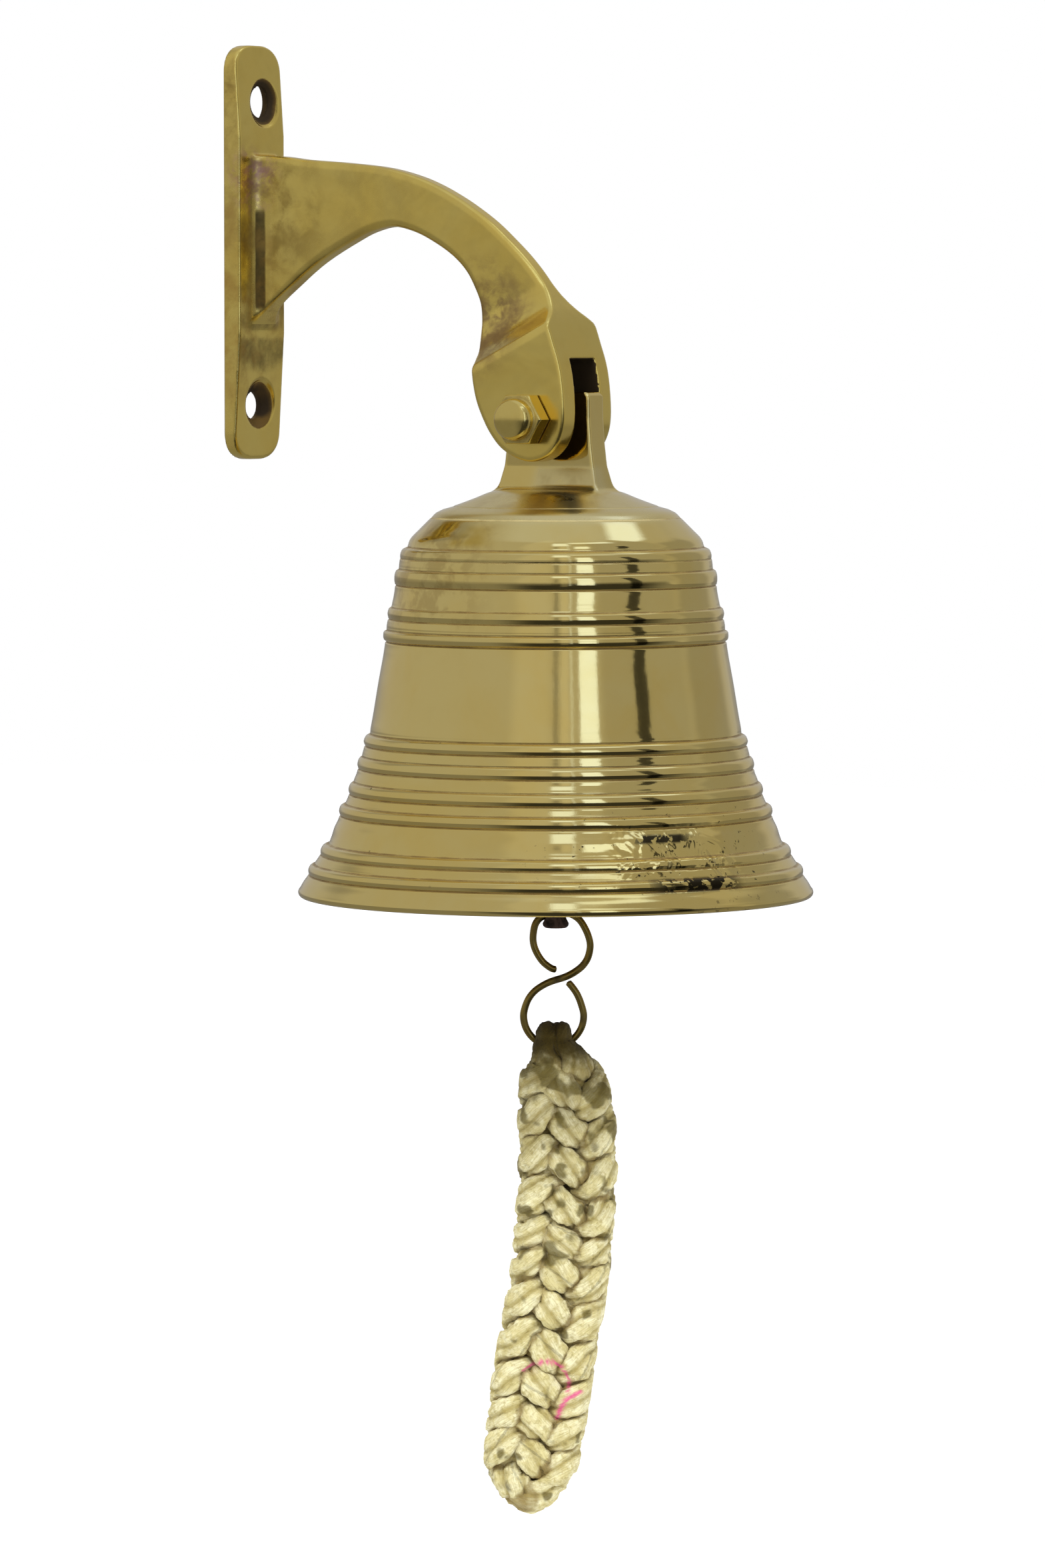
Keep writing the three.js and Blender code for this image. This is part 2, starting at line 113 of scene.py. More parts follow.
def catmull(points, n_per=8):
    """A centripetal Catmull-Rom line through points."""
    p = np.asarray(points, float)
    p = np.vstack([2 * p[0] - p[1], p, 2 * p[-1] - p[-2]])
    out = []
    for i in range(1, len(p) - 2):
        p0, p1, p2, p3 = p[i - 1], p[i], p[i + 1], p[i + 2]
        t0 = 0.0
        t1 = t0 + max(np.linalg.norm(p1 - p0), 1e-6) ** 0.5
        t2 = t1 + max(np.linalg.norm(p2 - p1), 1e-6) ** 0.5
        t3 = t2 + max(np.linalg.norm(p3 - p2), 1e-6) ** 0.5
        for t in np.linspace(t1, t2, n_per, endpoint=False):
            a1 = (t1 - t) / (t1 - t0) * p0 + (t - t0) / (t1 - t0) * p1
            a2 = (t2 - t) / (t2 - t1) * p1 + (t - t1) / (t2 - t1) * p2
            a3 = (t3 - t) / (t3 - t2) * p2 + (t - t2) / (t3 - t2) * p3
            b1 = (t2 - t) / (t2 - t0) * a1 + (t - t0) / (t2 - t0) * a2
            b2 = (t3 - t) / (t3 - t1) * a2 + (t - t1) / (t3 - t1) * a3
            out.append((t2 - t) / (t2 - t1) * b1 + (t - t1) / (t2 - t1) * b2)
    out.append(p[-2])
    return np.array(out)


def resample(line, step):
    d = np.concatenate([[0], np.cumsum(np.linalg.norm(np.diff(line, axis=0), axis=1))])
    s = np.linspace(0, d[-1], max(3, int(round(d[-1] / step)) + 1))
    return np.stack([np.interp(s, d, line[:, k]) for k in range(line.shape[1])], 1), s


def transport(line, first):
    """Tangents and turning-free side vectors along a line."""
    t = np.gradient(line, axis=0)
    t /= np.linalg.norm(t, axis=1, keepdims=True)
    u = np.zeros_like(line)
    x = np.asarray(first, float)
    for i in range(len(line)):
        x = x - (x @ t[i]) * t[i]
        x = x / np.linalg.norm(x)
        u[i] = x
    return t, u, np.cross(t, u)


def ring_quads(n_ring, n_around, cap=True):
    i = np.arange(n_ring - 1)[:, None] * n_around
    j = np.arange(n_around)[None, :]
    k = (j + 1) % n_around
    q = np.stack([i + j, i + k, i + n_around + k, i + n_around + j], -1).reshape(-1, 4)
    return q


def smoothstep(a, b, x):
    t = np.clip((x - a) / (b - a), 0, 1)
    return t * t * (3 - 2 * t)


def lathe(name, profile, segments, body, centre, attrs=None, normals=None, axis="Z", **kw):
    """profile: (radius, height) rows from pole to pole; radius 0 at both ends closes it."""
    p = np.asarray(profile, float)
    a = np.linspace(0, 2 * np.pi, segments, endpoint=False)
    t = np.gradient(p, axis=0)
    n2 = np.stack([t[:, 1], -t[:, 0]], 1)
    if normals is not None:
        n2 = normals
    n2 = n2 / np.maximum(np.linalg.norm(n2, axis=1, keepdims=True), 1e-12)
    inner = p[1:-1]
    r, z = inner[:, 0][:, None], inner[:, 1][:, None]
    v = np.stack([r * np.cos(a), r * np.sin(a), np.broadcast_to(z, (len(inner), segments))], -1).reshape(-1, 3)
    nn = np.stack([n2[1:-1, 0][:, None] * np.cos(a), n2[1:-1, 0][:, None] * np.sin(a),
                   np.broadcast_to(n2[1:-1, 1][:, None], (len(inner), segments))], -1).reshape(-1, 3)
    v = np.vstack([v, [[0, 0, p[0, 1]], [0, 0, p[-1, 1]]]])
    nn = np.vstack([nn, [[0, 0, np.sign(n2[0, 1]) or 1], [0, 0, np.sign(n2[-1, 1]) or -1]]])
    q = ring_quads(len(inner), segments)
    k = np.arange(segments)
    last = (len(inner) - 1) * segments
    tri = np.vstack([
        np.stack([np.full(segments, len(v) - 2), (k + 1) % segments, k], 1),
        np.stack([np.full(segments, len(v) - 1), last + k, last + (k + 1) % segments], 1)])
    # outward orientation: check the signed volume
    vol = np.einsum("ij,ij->i", v[q[:, 0]], np.cross(v[q[:, 1]], v[q[:, 2]])).sum() + \
        np.einsum("ij,ij->i", v[q[:, 0]], np.cross(v[q[:, 2]], v[q[:, 3]])).sum()
    if vol < 0:
        q, tri = q[:, ::-1], tri[:, ::-1]
    face_n = np.cross(v[q[:, 1]] - v[q[:, 0]], v[q[:, 2]] - v[q[:, 0]])
    if (face_n * nn[q[:, 0]]).sum() < 0:
        nn = -nn
    if axis == "Y":
        v = v[:, [1, 2, 0]]
        nn = nn[:, [1, 2, 0]]
    v = v + np.asarray(centre, float)
    at = {}
    for key, val in (attrs or {}).items():
        val = np.asarray(val, float)
        at[key] = np.concatenate([np.repeat(val[1:-1], segments), [val[0], val[-1]]])
    return to_mesh(name, v, q, body, normals=nn, attrs=at, tris=tri, **kw)


# ---------------------------------------------------------------- distance fields
def r_union(a, b, r):
    return np.maximum(r, np.minimum(a, b)) - np.hypot(np.maximum(r - a, 0), np.maximum(r - b, 0))


def r_inter(a, b, r):
    return np.minimum(-r, np.maximum(a, b)) + np.hypot(np.maximum(r + a, 0), np.maximum(r + b, 0))


def poly_sdf(px, py, poly):
    d = np.full(px.shape, 1e18)
    s = np.ones(px.shape)
    for i in range(len(poly)):
        x0, y0 = poly[i - 1]
        x1, y1 = poly[i]
        ex, ey = x1 - x0, y1 - y0
        wx, wy = px - x0, py - y0
        t = np.clip((wx * ex + wy * ey) / max(ex * ex + ey * ey, 1e-12), 0, 1)
        dx, dy = wx - t * ex, wy - t * ey
        d = np.minimum(d, dx * dx + dy * dy)
        c1, c2, c3 = py >= y0, py < y1, ex * wy > ey * wx
        s = np.where((c1 & c2 & c3) | (~c1 & ~c2 & ~c3), -s, s)
    return s * np.sqrt(d)


class Table:
    """A polygon's distance field on a grid, read back with linear interpolation."""

    def __init__(self, poly, pad=8.0, step=0.25):
        poly = np.asarray(poly, float)
        self.lo = poly.min(0) - pad
        hi = poly.max(0) + pad
        self.step = step
        self.n = np.ceil((hi - self.lo) / step).astype(int) + 1
        u = self.lo[0] + step * np.arange(self.n[0])
        v = self.lo[1] + step * np.arange(self.n[1])
        uu, vv = np.meshgrid(u, v, indexing="ij")
        self.f = poly_sdf(uu, vv, poly)

    def __call__(self, u, v):
        a = np.clip((u - self.lo[0]) / self.step, 0, self.n[0] - 1.001)
        b = np.clip((v - self.lo[1]) / self.step, 0, self.n[1] - 1.001)
        i, j = a.astype(int), b.astype(int)
        a, b = a - i, b - j
        f = self.f
        return (f[i, j] * (1 - a) + f[i + 1, j] * a) * (1 - b) + (f[i, j + 1] * (1 - a) + f[i + 1, j + 1] * a) * b


def sdf_piece(sdf, lo, hi, h, eps=0.3, smooth_normals=1):
    """Surface nets on a distance field. Gives points, quads, normals and how hollow the place is."""
    lo, hi = np.asarray(lo, float), np.asarray(hi, float)
    n = np.ceil((hi - lo) / h).astype(int) + 1
    f = np.empty(n, np.float32)
    ys = lo[1] + h * np.arange(n[1])
    zs = lo[2] + h * np.arange(n[2])
    yy, zz = np.meshgrid(ys, zs, indexing="ij")
    for i0 in range(0, n[0], 24):
        xs = lo[0] + h * np.arange(i0, min(i0 + 24, n[0]))
        x3 = np.broadcast_to(xs[:, None, None], (len(xs),) + yy.shape)
        f[i0:i0 + len(xs)] = sdf(x3, np.broadcast_to(yy, x3.shape), np.broadcast_to(zz, x3.shape))
    s = f < 0
    count = np.zeros(n - 1, np.int8)
    for a in (0, 1):
        for b in (0, 1):
            for c in (0, 1):
                count += s[a:n[0] - 1 + a, b:n[1] - 1 + b, c:n[2] - 1 + c]
    cells = np.argwhere((count > 0) & (count < 8))
    index = np.full(n - 1, -1, np.int64)
    index[cells[:, 0], cells[:, 1], cells[:, 2]] = np.arange(len(cells))
    acc, cnt = np.zeros((len(cells), 3)), np.zeros(len(cells))
    for ax in range(3):
        for p in (0, 1):
            for q in (0, 1):
                off = np.zeros(3, int)
                off[(ax + 1) % 3], off[(ax + 2) % 3] = p, q
                e = np.zeros(3, int)
                e[ax] = 1
                ca, cb = cells + off, cells + off + e
                fa = f[ca[:, 0], ca[:, 1], ca[:, 2]].astype(float)
                fb = f[cb[:, 0], cb[:, 1], cb[:, 2]].astype(float)
                m = (fa < 0) != (fb < 0)
                t = fa[m] / (fa[m] - fb[m])
                acc[m] += off + t[:, None] * e
                cnt[m] += 1
    v = lo + h * (cells + acc / cnt[:, None])
    quads = []
    for ax in range(3):
        a1, a2 = (ax + 1) % 3, (ax + 2) % 3
        sl0 = [slice(None)] * 3
        sl1 = [slice(None)] * 3
        sl0[ax], sl1[ax] = slice(0, n[ax] - 1), slice(1, n[ax])
        ch = s[tuple(sl0)] != s[tuple(sl1)]
        pts = np.argwhere(ch)
        ok = (pts[:, a1] > 0) & (pts[:, a1] < n[a1] - 1) & (pts[:, a2] > 0) & (pts[:, a2] < n[a2] - 1)
        pts = pts[ok]
        inside = s[pts[:, 0], pts[:, 1], pts[:, 2]]
        cor = []
        for d1, d2 in ((-1, -1), (0, -1), (0, 0), (-1, 0)):
            c = pts.copy()
            c[:, a1] += d1
            c[:, a2] += d2
            cor.append(index[c[:, 0], c[:, 1], c[:, 2]])
        q = np.stack(cor, 1)
        q[~inside] = q[~inside][:, ::-1]
        quads.append(q)
    quads = np.vstack(quads)

    def grad(p, e):
        g = np.empty_like(p)
        for k in range(3):
            d = np.zeros(3)
            d[k] = e
            a, b = p + d, p - d
            g[:, k] = (sdf(a[:, 0], a[:, 1], a[:, 2]) - sdf(b[:, 0], b[:, 1], b[:, 2])) / (2 * e)
        return g

    for _ in range(3):
        g = grad(v, 0.1)
        d = sdf(v[:, 0], v[:, 1], v[:, 2])
        step = d[:, None] * g / np.maximum((g * g).sum(1, keepdims=True), 0.05)
        length = np.linalg.norm(step, axis=1, keepdims=True)
        v = v - step * np.minimum(1.0, 0.6 * h / np.maximum(length, 1e-9))
    nn = grad(v, eps)
    nn /= np.maximum(np.linalg.norm(nn, axis=1, keepdims=True), 1e-9)
    for _ in range(smooth_normals):
        s_n = nn.copy()
        for a, b in ((0, 1), (1, 2), (2, 3), (3, 0)):
            for k in range(3):
                s_n[:, k] += 0.35 * np.bincount(quads[:, a], nn[quads[:, b], k], len(v))
                s_n[:, k] += 0.35 * np.bincount(quads[:, b], nn[quads[:, a], k], len(v))
        nn = s_n / np.maximum(np.linalg.norm(s_n, axis=1, keepdims=True), 1e-9)
    hollow = np.zeros(len(v))
    for d in (0.8, 2.0, 4.0):
        p = v + nn * d
        hollow += np.clip(1 - sdf(p[:, 0], p[:, 1], p[:, 2]) / d, 0, 1) / 3
    edge = np.zeros(len(v))
    for d in (0.5, 1.2):
        p = v - nn * d
        edge += np.clip(1 + sdf(p[:, 0], p[:, 1], p[:, 2]) / d, 0, 1) / 2
    return v, quads, nn, hollow, edge


# ---------------------------------------------------------------- materials
def nodes_of(mat):
    mat.use_nodes = True
    nt = mat.node_tree
    nt.nodes.clear()
    return nt


class NT:
    """Short calls for building a node tree."""

    def __init__(self, nt):
        self.nt = nt

    def new(self, kind, **props):
        n = self.nt.nodes.new(kind)
        for k, v in props.items():
            setattr(n, k, v)
        return n

    def put(self, sock, val):
        if isinstance(val, bpy.types.NodeSocket):
            self.nt.links.new(val, sock)
        elif val is not None:
            sock.default_value = val

    def math(self, op, a, b=None, c=None, clamp=False):
        n = self.new("ShaderNodeMath", operation=op, use_clamp=clamp)
        self.put(n.inputs[0], a)
        if b is not None:
            self.put(n.inputs[1], b)
        if c is not None:
            self.put(n.inputs[2], c)
        return n.outputs[0]

    def step(self, x, a, b, lo=0.0, hi=1.0):
        n = self.new("ShaderNodeMapRange", interpolation_type="SMOOTHSTEP")
        self.put(n.inputs["Value"], x)
        n.inputs["From Min"].default_value = a
        n.inputs["From Max"].default_value = b
        n.inputs["To Min"].default_value = lo
        n.inputs["To Max"].default_value = hi
        return n.outputs["Result"]

    def mix(self, fac, a, b, mode="MIX"):
        n = self.new("ShaderNodeMix", data_type="RGBA", blend_type=mode)
        self.put(n.inputs[0], fac)
        self.put(n.inputs[6], a if isinstance(a, bpy.types.NodeSocket) else (*a, 1.0))
        self.put(n.inputs[7], b if isinstance(b, bpy.types.NodeSocket) else (*b, 1.0))
        return n.outputs[2]

    def coords(self, scale=(1, 1, 1), loc=(0, 0, 0), rot=(0, 0, 0)):
        tc = self.new("ShaderNodeTexCoord")
        mp = self.new("ShaderNodeMapping")
        self.put(mp.inputs["Vector"], tc.outputs["Object"])
        mp.inputs["Scale"].default_value = scale
        mp.inputs["Location"].default_value = loc
        mp.inputs["Rotation"].default_value = rot
        return mp.outputs["Vector"]

    def noise(self, vec, scale, detail=3.0, rough=0.55, distort=0.0, out="Fac"):
        n = self.new("ShaderNodeTexNoise")
        self.put(n.inputs["Vector"], vec)
        n.inputs["Scale"].default_value = scale
        n.inputs["Detail"].default_value = detail
        n.inputs["Roughness"].default_value = rough
        n.inputs["Distortion"].default_value = distort
        return n.outputs[out]

    def voronoi(self, vec, scale, feature="F1", out="Distance", rand=1.0):
        n = self.new("ShaderNodeTexVoronoi", feature=feature)
        self.put(n.inputs["Vector"], vec)
        n.inputs["Scale"].default_value = scale
        n.inputs["Randomness"].default_value = rand
        return n.outputs[out]

    def attr(self, name, out="Fac"):
        n = self.new("ShaderNodeAttribute", attribute_name=name)
        return n.outputs[out]

    def near(self, point, radius, soft):
        """1 within radius of a point in the row frame, falling to 0 over soft, in metres."""
        tc = self.new("ShaderNodeTexCoord")
        n = self.new("ShaderNodeVectorMath", operation="DISTANCE")
        self.put(n.inputs[0], tc.outputs["Object"])
        n.inputs[1].default_value = point
        return self.step(n.outputs["Value"], radius, radius + soft, 1.0, 0.0)

    def bump(self, height, strength, distance, normal=None):
        n = self.new("ShaderNodeBump")
        n.inputs["Strength"].default_value = strength
        n.inputs["Distance"].default_value = distance
        self.put(n.inputs["Height"], height)
        if normal is not None:
            self.put(n.inputs["Normal"], normal)
        return n.outputs["Normal"]


def world_mm(x, y, z):
    return (x / 1000.0, y / 1000.0, z / 1000.0)


def brass(name, base, tarnish_and_shade, rough, wave=0.3, mottled=0.3, stains=(), patches=(), specks=False, scratch=0.25, grain=0.12, melt=None):
    """Polished cast brass: colour drift, tarnish in hollows with some painted shade, handling marks, some painted light
    and reflections, fine polishing lines.
    """
    mat = bpy.data.materials.new(name)
    nt = nodes_of(mat)
    T = NT(nt)
    p = T.new("ShaderNodeBsdfPrincipled")
    out = T.new("ShaderNodeOutputMaterial")
    nt.links.new(p.outputs[0], out.inputs[0])
    c = T.coords()
    sep = T.new("ShaderNodeSeparateXYZ")
    T.put(sep.inputs[0], c)
    # place round the bell's axis: degrees from the viewer's side, and height from the bolt in mm
    dx = T.math("SUBTRACT", sep.outputs[0], PINX / 1000.0)
    dy = T.math("SUBTRACT", sep.outputs[1], BELLY / 1000.0)
    side = T.math("ADD", T.math("MULTIPLY", dx, CT), T.math("MULTIPLY", dy, ST))
    front = T.math("ADD", T.math("MULTIPLY", dx, ST), T.math("MULTIPLY", dy, -CT))
    azm = T.math("MULTIPLY", T.math("ARCTAN2", side, front), 180 / math.pi)
    hgt = T.math("MULTIPLY_ADD", sep.outputs[2], 1000.0, -PINZ)

    def window(a0, a1, z0, z1, sa, sz):
        m = T.math("MULTIPLY", T.step(azm, a0 - sa, a0 + sa), T.step(azm, a1 - sa, a1 + sa, 1.0, 0.0))
        k = T.math("MULTIPLY", T.step(hgt, z0 - sz, z0 + sz), T.step(hgt, z1 - sz, z1 + sz, 1.0, 0.0))
        return T.math("MULTIPLY", m, k)

    big = T.noise(c, 34.0, 4.0, 0.6, 0.4)
    mid = T.noise(c, 140.0, 4.0, 0.6, 0.2)
    fine = T.noise(c, 900.0, 3.0, 0.6)
    dull = tuple(x * k for x, k in zip(base, (0.80, 0.76, 0.62)))
    warm = tuple(x * k for x, k in zip(base, (1.0, 0.95, 0.80)))
    col = T.mix(T.step(big, 0.35, 0.72), base, warm)
    col = T.mix(T.math("MULTIPLY", T.step(mid, 0.46, 0.75), mottled), col, dull)
    # patina in the hollows, and on the bell and bracket also painted shade
    hollow = T.attr("tarnish_and_shade")
    wob = T.math("MULTIPLY_ADD", mid, 0.9, -0.45)
    t = T.math("ADD", hollow, T.math("MULTIPLY", wob, T.step(hollow, 0.05, 0.5)), clamp=True)
    t = T.step(t, 0.18, 0.85)
    col = T.mix(t, col, tarnish_and_shade)
    rgh = T.math("MULTIPLY_ADD", T.step(big, 0.3, 0.8), rough * 0.5, rough * 0.8)
    rgh = T.math("MULTIPLY_ADD", T.step(fine, 0.4, 0.8), rough * 0.35, rgh)
    rgh = T.math("MULTIPLY_ADD", t, 0.30, rgh)
    metal = T.math("MULTIPLY_ADD", t, -0.35, 1.0)
    # painted shade and painted dark reflection: this mask mixes the brass towards near black in the bracket's slot,
    # hole throats and round the arm's root
    gr = T.step(T.math("ADD", T.attr("grime_and_shade"), T.math("MULTIPLY", T.math("SUBTRACT", mid, 0.5), 0.5)), 0.25, 0.75)
    col = T.mix(T.math("MULTIPLY", gr, 0.92), col, (0.030, 0.020, 0.010))
    rgh = T.math("MULTIPLY_ADD", gr, 0.25, rgh)
    for point, radius, soft, colour, amount, sc in stains:
        m = T.near(point, radius, soft)
        m = T.math("MULTIPLY", m, T.step(T.noise(c, sc, 4.0, 0.6, 0.3), 0.40, 0.66))
        m = T.math("MULTIPLY", m, amount)
        col = T.mix(m, col, colour)
        rgh = T.math("MULTIPLY_ADD", m, 0.2, rgh)
    for (a0, a1, z0, z1, sa, sz), colour, amount, sc, lo, hi, rg in patches:
        m = T.math("MULTIPLY", window(a0, a1, z0, z1, sa, sz), T.step(T.noise(c, sc, 3.0, 0.6, 0.2), lo, hi))
        m = T.math("MULTIPLY", m, amount)
        col = T.mix(m, col, colour)
        rgh = T.math("MULTIPLY_ADD", m, rg, rgh)
    if specks:
        v = T.voronoi(c, 110.0)
        pit = T.math("MULTIPLY", T.step(v, 0.030, 0.055, 1.0, 0.0), T.step(T.noise(c, 60.0), 0.57, 0.62))
        col = T.mix(pit, col, (0.03, 0.022, 0.012))
        rgh = T.math("MULTIPLY_ADD", pit, 0.5, rgh)
    T.put(p.inputs["Base Color"], col)
    T.put(p.inputs["Roughness"], T.math("MINIMUM", rgh, 0.8))
    T.put(p.inputs["Metallic"], metal)
    # polish: long fine lines, and slow waves left by hand buffing
    lines = T.noise(T.coords(scale=(1.0, 1.0, 0.12)), 1500.0, 2.0, 0.5)
    nrm = T.bump(lines, scratch, 0.00003)
    nrm = T.bump(T.noise(c, 75.0, 2.0, 0.5, 0.6), wave, 0.0006, nrm)
    if melt:
        h = T.math("MULTIPLY", T.noise(c, melt[1], 2.0, 0.5, 1.0), window(*melt[0]))
        nrm = T.bump(h, melt[2], 0.0022, nrm)
    nrm = T.bump(fine, grain, 0.00006, nrm)
    T.put(p.inputs["Normal"], nrm)
    return mat


def iron(name, base, rust):
    mat = bpy.data.materials.new(name)
    nt = nodes_of(mat)
    T = NT(nt)
    p = T.new("ShaderNodeBsdfPrincipled")
    out = T.new("ShaderNodeOutputMaterial")
    nt.links.new(p.outputs[0], out.inputs[0])
    c = T.coords()
    a = T.noise(c, 160.0, 6.0, 0.65, 0.5)
    b = T.noise(c, 800.0, 4.0, 0.6)
    col = T.mix(T.step(a, 0.45, 0.62), base, rust)
    col = T.mix(T.math("MULTIPLY", T.step(b, 0.55, 0.75), 0.6), col, (0.012, 0.009, 0.007))
    T.put(p.inputs["Base Color"], col)
    T.put(p.inputs["Metallic"], T.step(a, 0.62, 0.42, 0.15, 0.75))
    T.put(p.inputs["Roughness"], T.step(b, 0.2, 0.9, 0.5, 0.85))
    h = T.math("ADD", T.math("MULTIPLY", a, 0.7), T.math("MULTIPLY", b, 0.35))
    T.put(p.inputs["Normal"], T.bump(h, 0.8, 0.0004))
    return mat


# base colours are linear
BRASS = (0.84, 0.675, 0.252)
BLACK = (0.018, 0.014, 0.010)
M_BELL = brass(
    "bell brass", BRASS, (0.24, 0.155, 0.045), 0.075, wave=0.06, mottled=0.08, specks=True, scratch=0.10, grain=0.06,
    patches=[
        # painted reflection: an orange-gold streak across the dome
        ((-70, -28, -36.5, -31.0, 6, 1.2), (0.62, 0.42, 0.06), 0.75, 70.0, 0.30, 0.55, 0.10),
        ((-110, -30, -60.0, -27.0, 14, 6), (0.40, 0.27, 0.085), 0.42, 160.0, 0.44, 0.62, 0.12),
        # painted light: paler brass on the crown round the lug's foot, lifting the dark brass-on-brass reflection
        # there; it is rougher too
        ((-75, 60, -29.5, -14.0, 14, 1.5), (0.86, 0.73, 0.34), 0.85, 120.0, 0.20, 0.42, 0.26),
        ((-60, 40, -26.0, -16.0, 14, 1.5), (0.50, 0.36, 0.12), 0.30, 120.0, 0.42, 0.62, 0.10),
        ((-150, -90, -140.0, -25.0, 14, 6), (0.42, 0.30, 0.10), 0.35, 110.0, 0.42, 0.64, 0.12),
        ((23, 46, -134.7, -130.9, 4, 0.6), BLACK, 0.97, 300.0, 0.44, 0.49, 0.45),
        ((20, 36, -121.0, -118.6, 3, 0.5), BLACK, 0.95, 330.0, 0.45, 0.50, 0.45),
        ((28, 44, -128.0, -125.2, 4, 0.4), BLACK, 0.85, 360.0, 0.57, 0.61, 0.45),
        ((-5, 62, -135.0, -112.0, 8, 3.0), BLACK, 0.85, 520.0, 0.665, 0.69, 0.45),
        ((30, 60, -141.0, -136.5, 6, 0.6), (0.14, 0.10, 0.045), 0.55, 330.0, 0.60, 0.66, 0.3),
    ],
    melt=((16, 50, -131.0, -117.0, 6, 3.0), 95.0, 0.85))
M_BRACKET = brass(
    "bracket brass", (0.93, 0.725, 0.195), (0.155, 0.088, 0.015), 0.19, wave=0.16, mottled=0.25, scratch=0.01, grain=0.018,
    stains=[
        (world_mm(8.0, -7.5, 24), 0.003, 0.007, (0.62, 0.33, 0.29), 0.85, 320.0),
        (world_mm(8.0, -8.0, 17), 0.002, 0.006, (0.60, 0.33, 0.27), 0.7, 380.0),
        (world_mm(9, -8, 10), 0.012, 0.016, (0.36, 0.22, 0.05), 0.55, 120.0),
        (world_mm(7, -8, -22), 0.012, 0.016, (0.42, 0.24, 0.05), 0.6, 100.0),
        (world_mm(40, -4, 16), 0.020, 0.030, (0.62, 0.45, 0.13), 0.32, 80.0),
        (world_mm(90.5, -4, -22), 0.006, 0.012, (0.42, 0.27, 0.12), 0.80, 260.0),
        (world_mm(90.5, -4, -22), 0.007, 0.013, (0.46, 0.31, 0.13), 0.75, 90.0),
        (world_mm(86, -8, -20), 0.009, 0.016, (0.46, 0.30, 0.11), 0.65, 180.0),
    ])
M_BOLT = brass("bolt brass", (0.84, 0.66, 0.20), (0.12, 0.07, 0.018), 0.17, wave=0.20, mottled=0.35, scratch=0.2, grain=0.08)
M_HOOK = brass("hook brass", (0.35, 0.26, 0.070), (0.05, 0.035, 0.013), 0.33, wave=0.3, mottled=0.8, scratch=0.3)
M_IRON = iron("clapper iron", (0.012, 0.0075, 0.005), (0.036, 0.016, 0.008))


def cotton(name, z_top, z_low):
    mat = bpy.data.materials.new(name)
    nt = nodes_of(mat)
    T = NT(nt)
    p = T.new("ShaderNodeBsdfPrincipled")
    out = T.new("ShaderNodeOutputMaterial")
    nt.links.new(p.outputs[0], out.inputs[0])
    c = T.coords()
    fib = T.attr("fib", "Vector")
    sep = T.new("ShaderNodeSeparateXYZ")
    T.put(sep.inputs[0], c)
    z = sep.outputs[2]
    thread = T.noise(fib, 1.0, 4.0, 0.6, 0.3)
    mott = T.noise(c, 230.0, 5.0, 0.62, 0.3)
    blot = T.noise(c, 95.0, 3.0, 0.55, 0.4)
    fine = T.noise(c, 2600.0, 2.0, 0.6)
    light, mid, low = (0.84, 0.79, 0.49), (0.67, 0.595, 0.29), (0.37, 0.29, 0.085)
    col = T.mix(T.step(mott, 0.38, 0.62), light, mid)
    col = T.mix(T.math("MULTIPLY", T.step(thread, 0.40, 0.66), 0.45), col, low)
    nub = T.noise(c, 620.0, 3.0, 0.6, 0.4)
    col = T.mix(T.math("MULTIPLY", T.step(nub, 0.48, 0.70), 0.55), col, low)
    # painted shade in the grooves between the plies
    col = T.mix(T.math("MULTIPLY", T.step(T.attr("ply"), 0.15, 0.80), 0.72), col, low)
    # painted shade between the strands, where one lies close on another
    cav = T.attr("cavity")
    dirt_and_shade = T.math("MULTIPLY", T.step(cav, 0.20, 1.0), T.step(blot, 0.30, 0.62, 0.30, 1.0))
    col = T.mix(T.math("MULTIPLY", dirt_and_shade, 0.88), col, (0.25, 0.175, 0.050))
    # soiling towards the hook, in patches and soft round spots
    grime_and_shade = T.math("MULTIPLY", T.step(z, z_top - 0.050, z_top - 0.006), T.step(blot, 0.28, 0.60, 0.30, 1.0))
    col = T.mix(T.math("MULTIPLY", grime_and_shade, 0.75), col, (0.16, 0.115, 0.026))
    many = T.step(z, z_top - 0.100, z_top - 0.015, 0.69, 0.575)
    spots = T.noise(T.coords(loc=(0.31, 0.17, 0.05)), 165.0, 1.5, 0.45, 0.2)
    spot = T.step(T.math("SUBTRACT", spots, many), -0.045, 0.060)
    col = T.mix(T.math("MULTIPLY", spot, 0.80), col, (0.115, 0.088, 0.020))
    cap = T.step(T.math("ADD", z, T.math("MULTIPLY_ADD", mott, 0.008, -0.004)), z_top - 0.0125, z_top - 0.0065)
    col = T.mix(T.math("MULTIPLY", cap, 0.93), col, (0.050, 0.034, 0.005))
    col = T.mix(T.math("MULTIPLY", T.attr("pink"), 0.9), col, (0.72, 0.075, 0.26))
    T.put(p.inputs["Base Color"], col)
    p.inputs["Roughness"].default_value = 0.92
    p.inputs["Specular IOR Level"].default_value = 0.12
    p.inputs["Sheen Weight"].default_value = 0.06
    p.inputs["Sheen Roughness"].default_value = 0.5
    p.inputs["Subsurface Weight"].default_value = 0.05
    p.inputs["Subsurface Radius"].default_value = (0.0020, 0.0015, 0.0008)
    n1 = T.bump(thread, 0.8, 0.00045)
    n2 = T.bump(mott, 0.7, 0.0009, n1)
    n2 = T.bump(nub, 0.9, 0.0006, n2)
    n3 = T.bump(fine, 0.6, 0.00020, n2)
    T.put(p.inputs["Normal"], n3)
    return mat


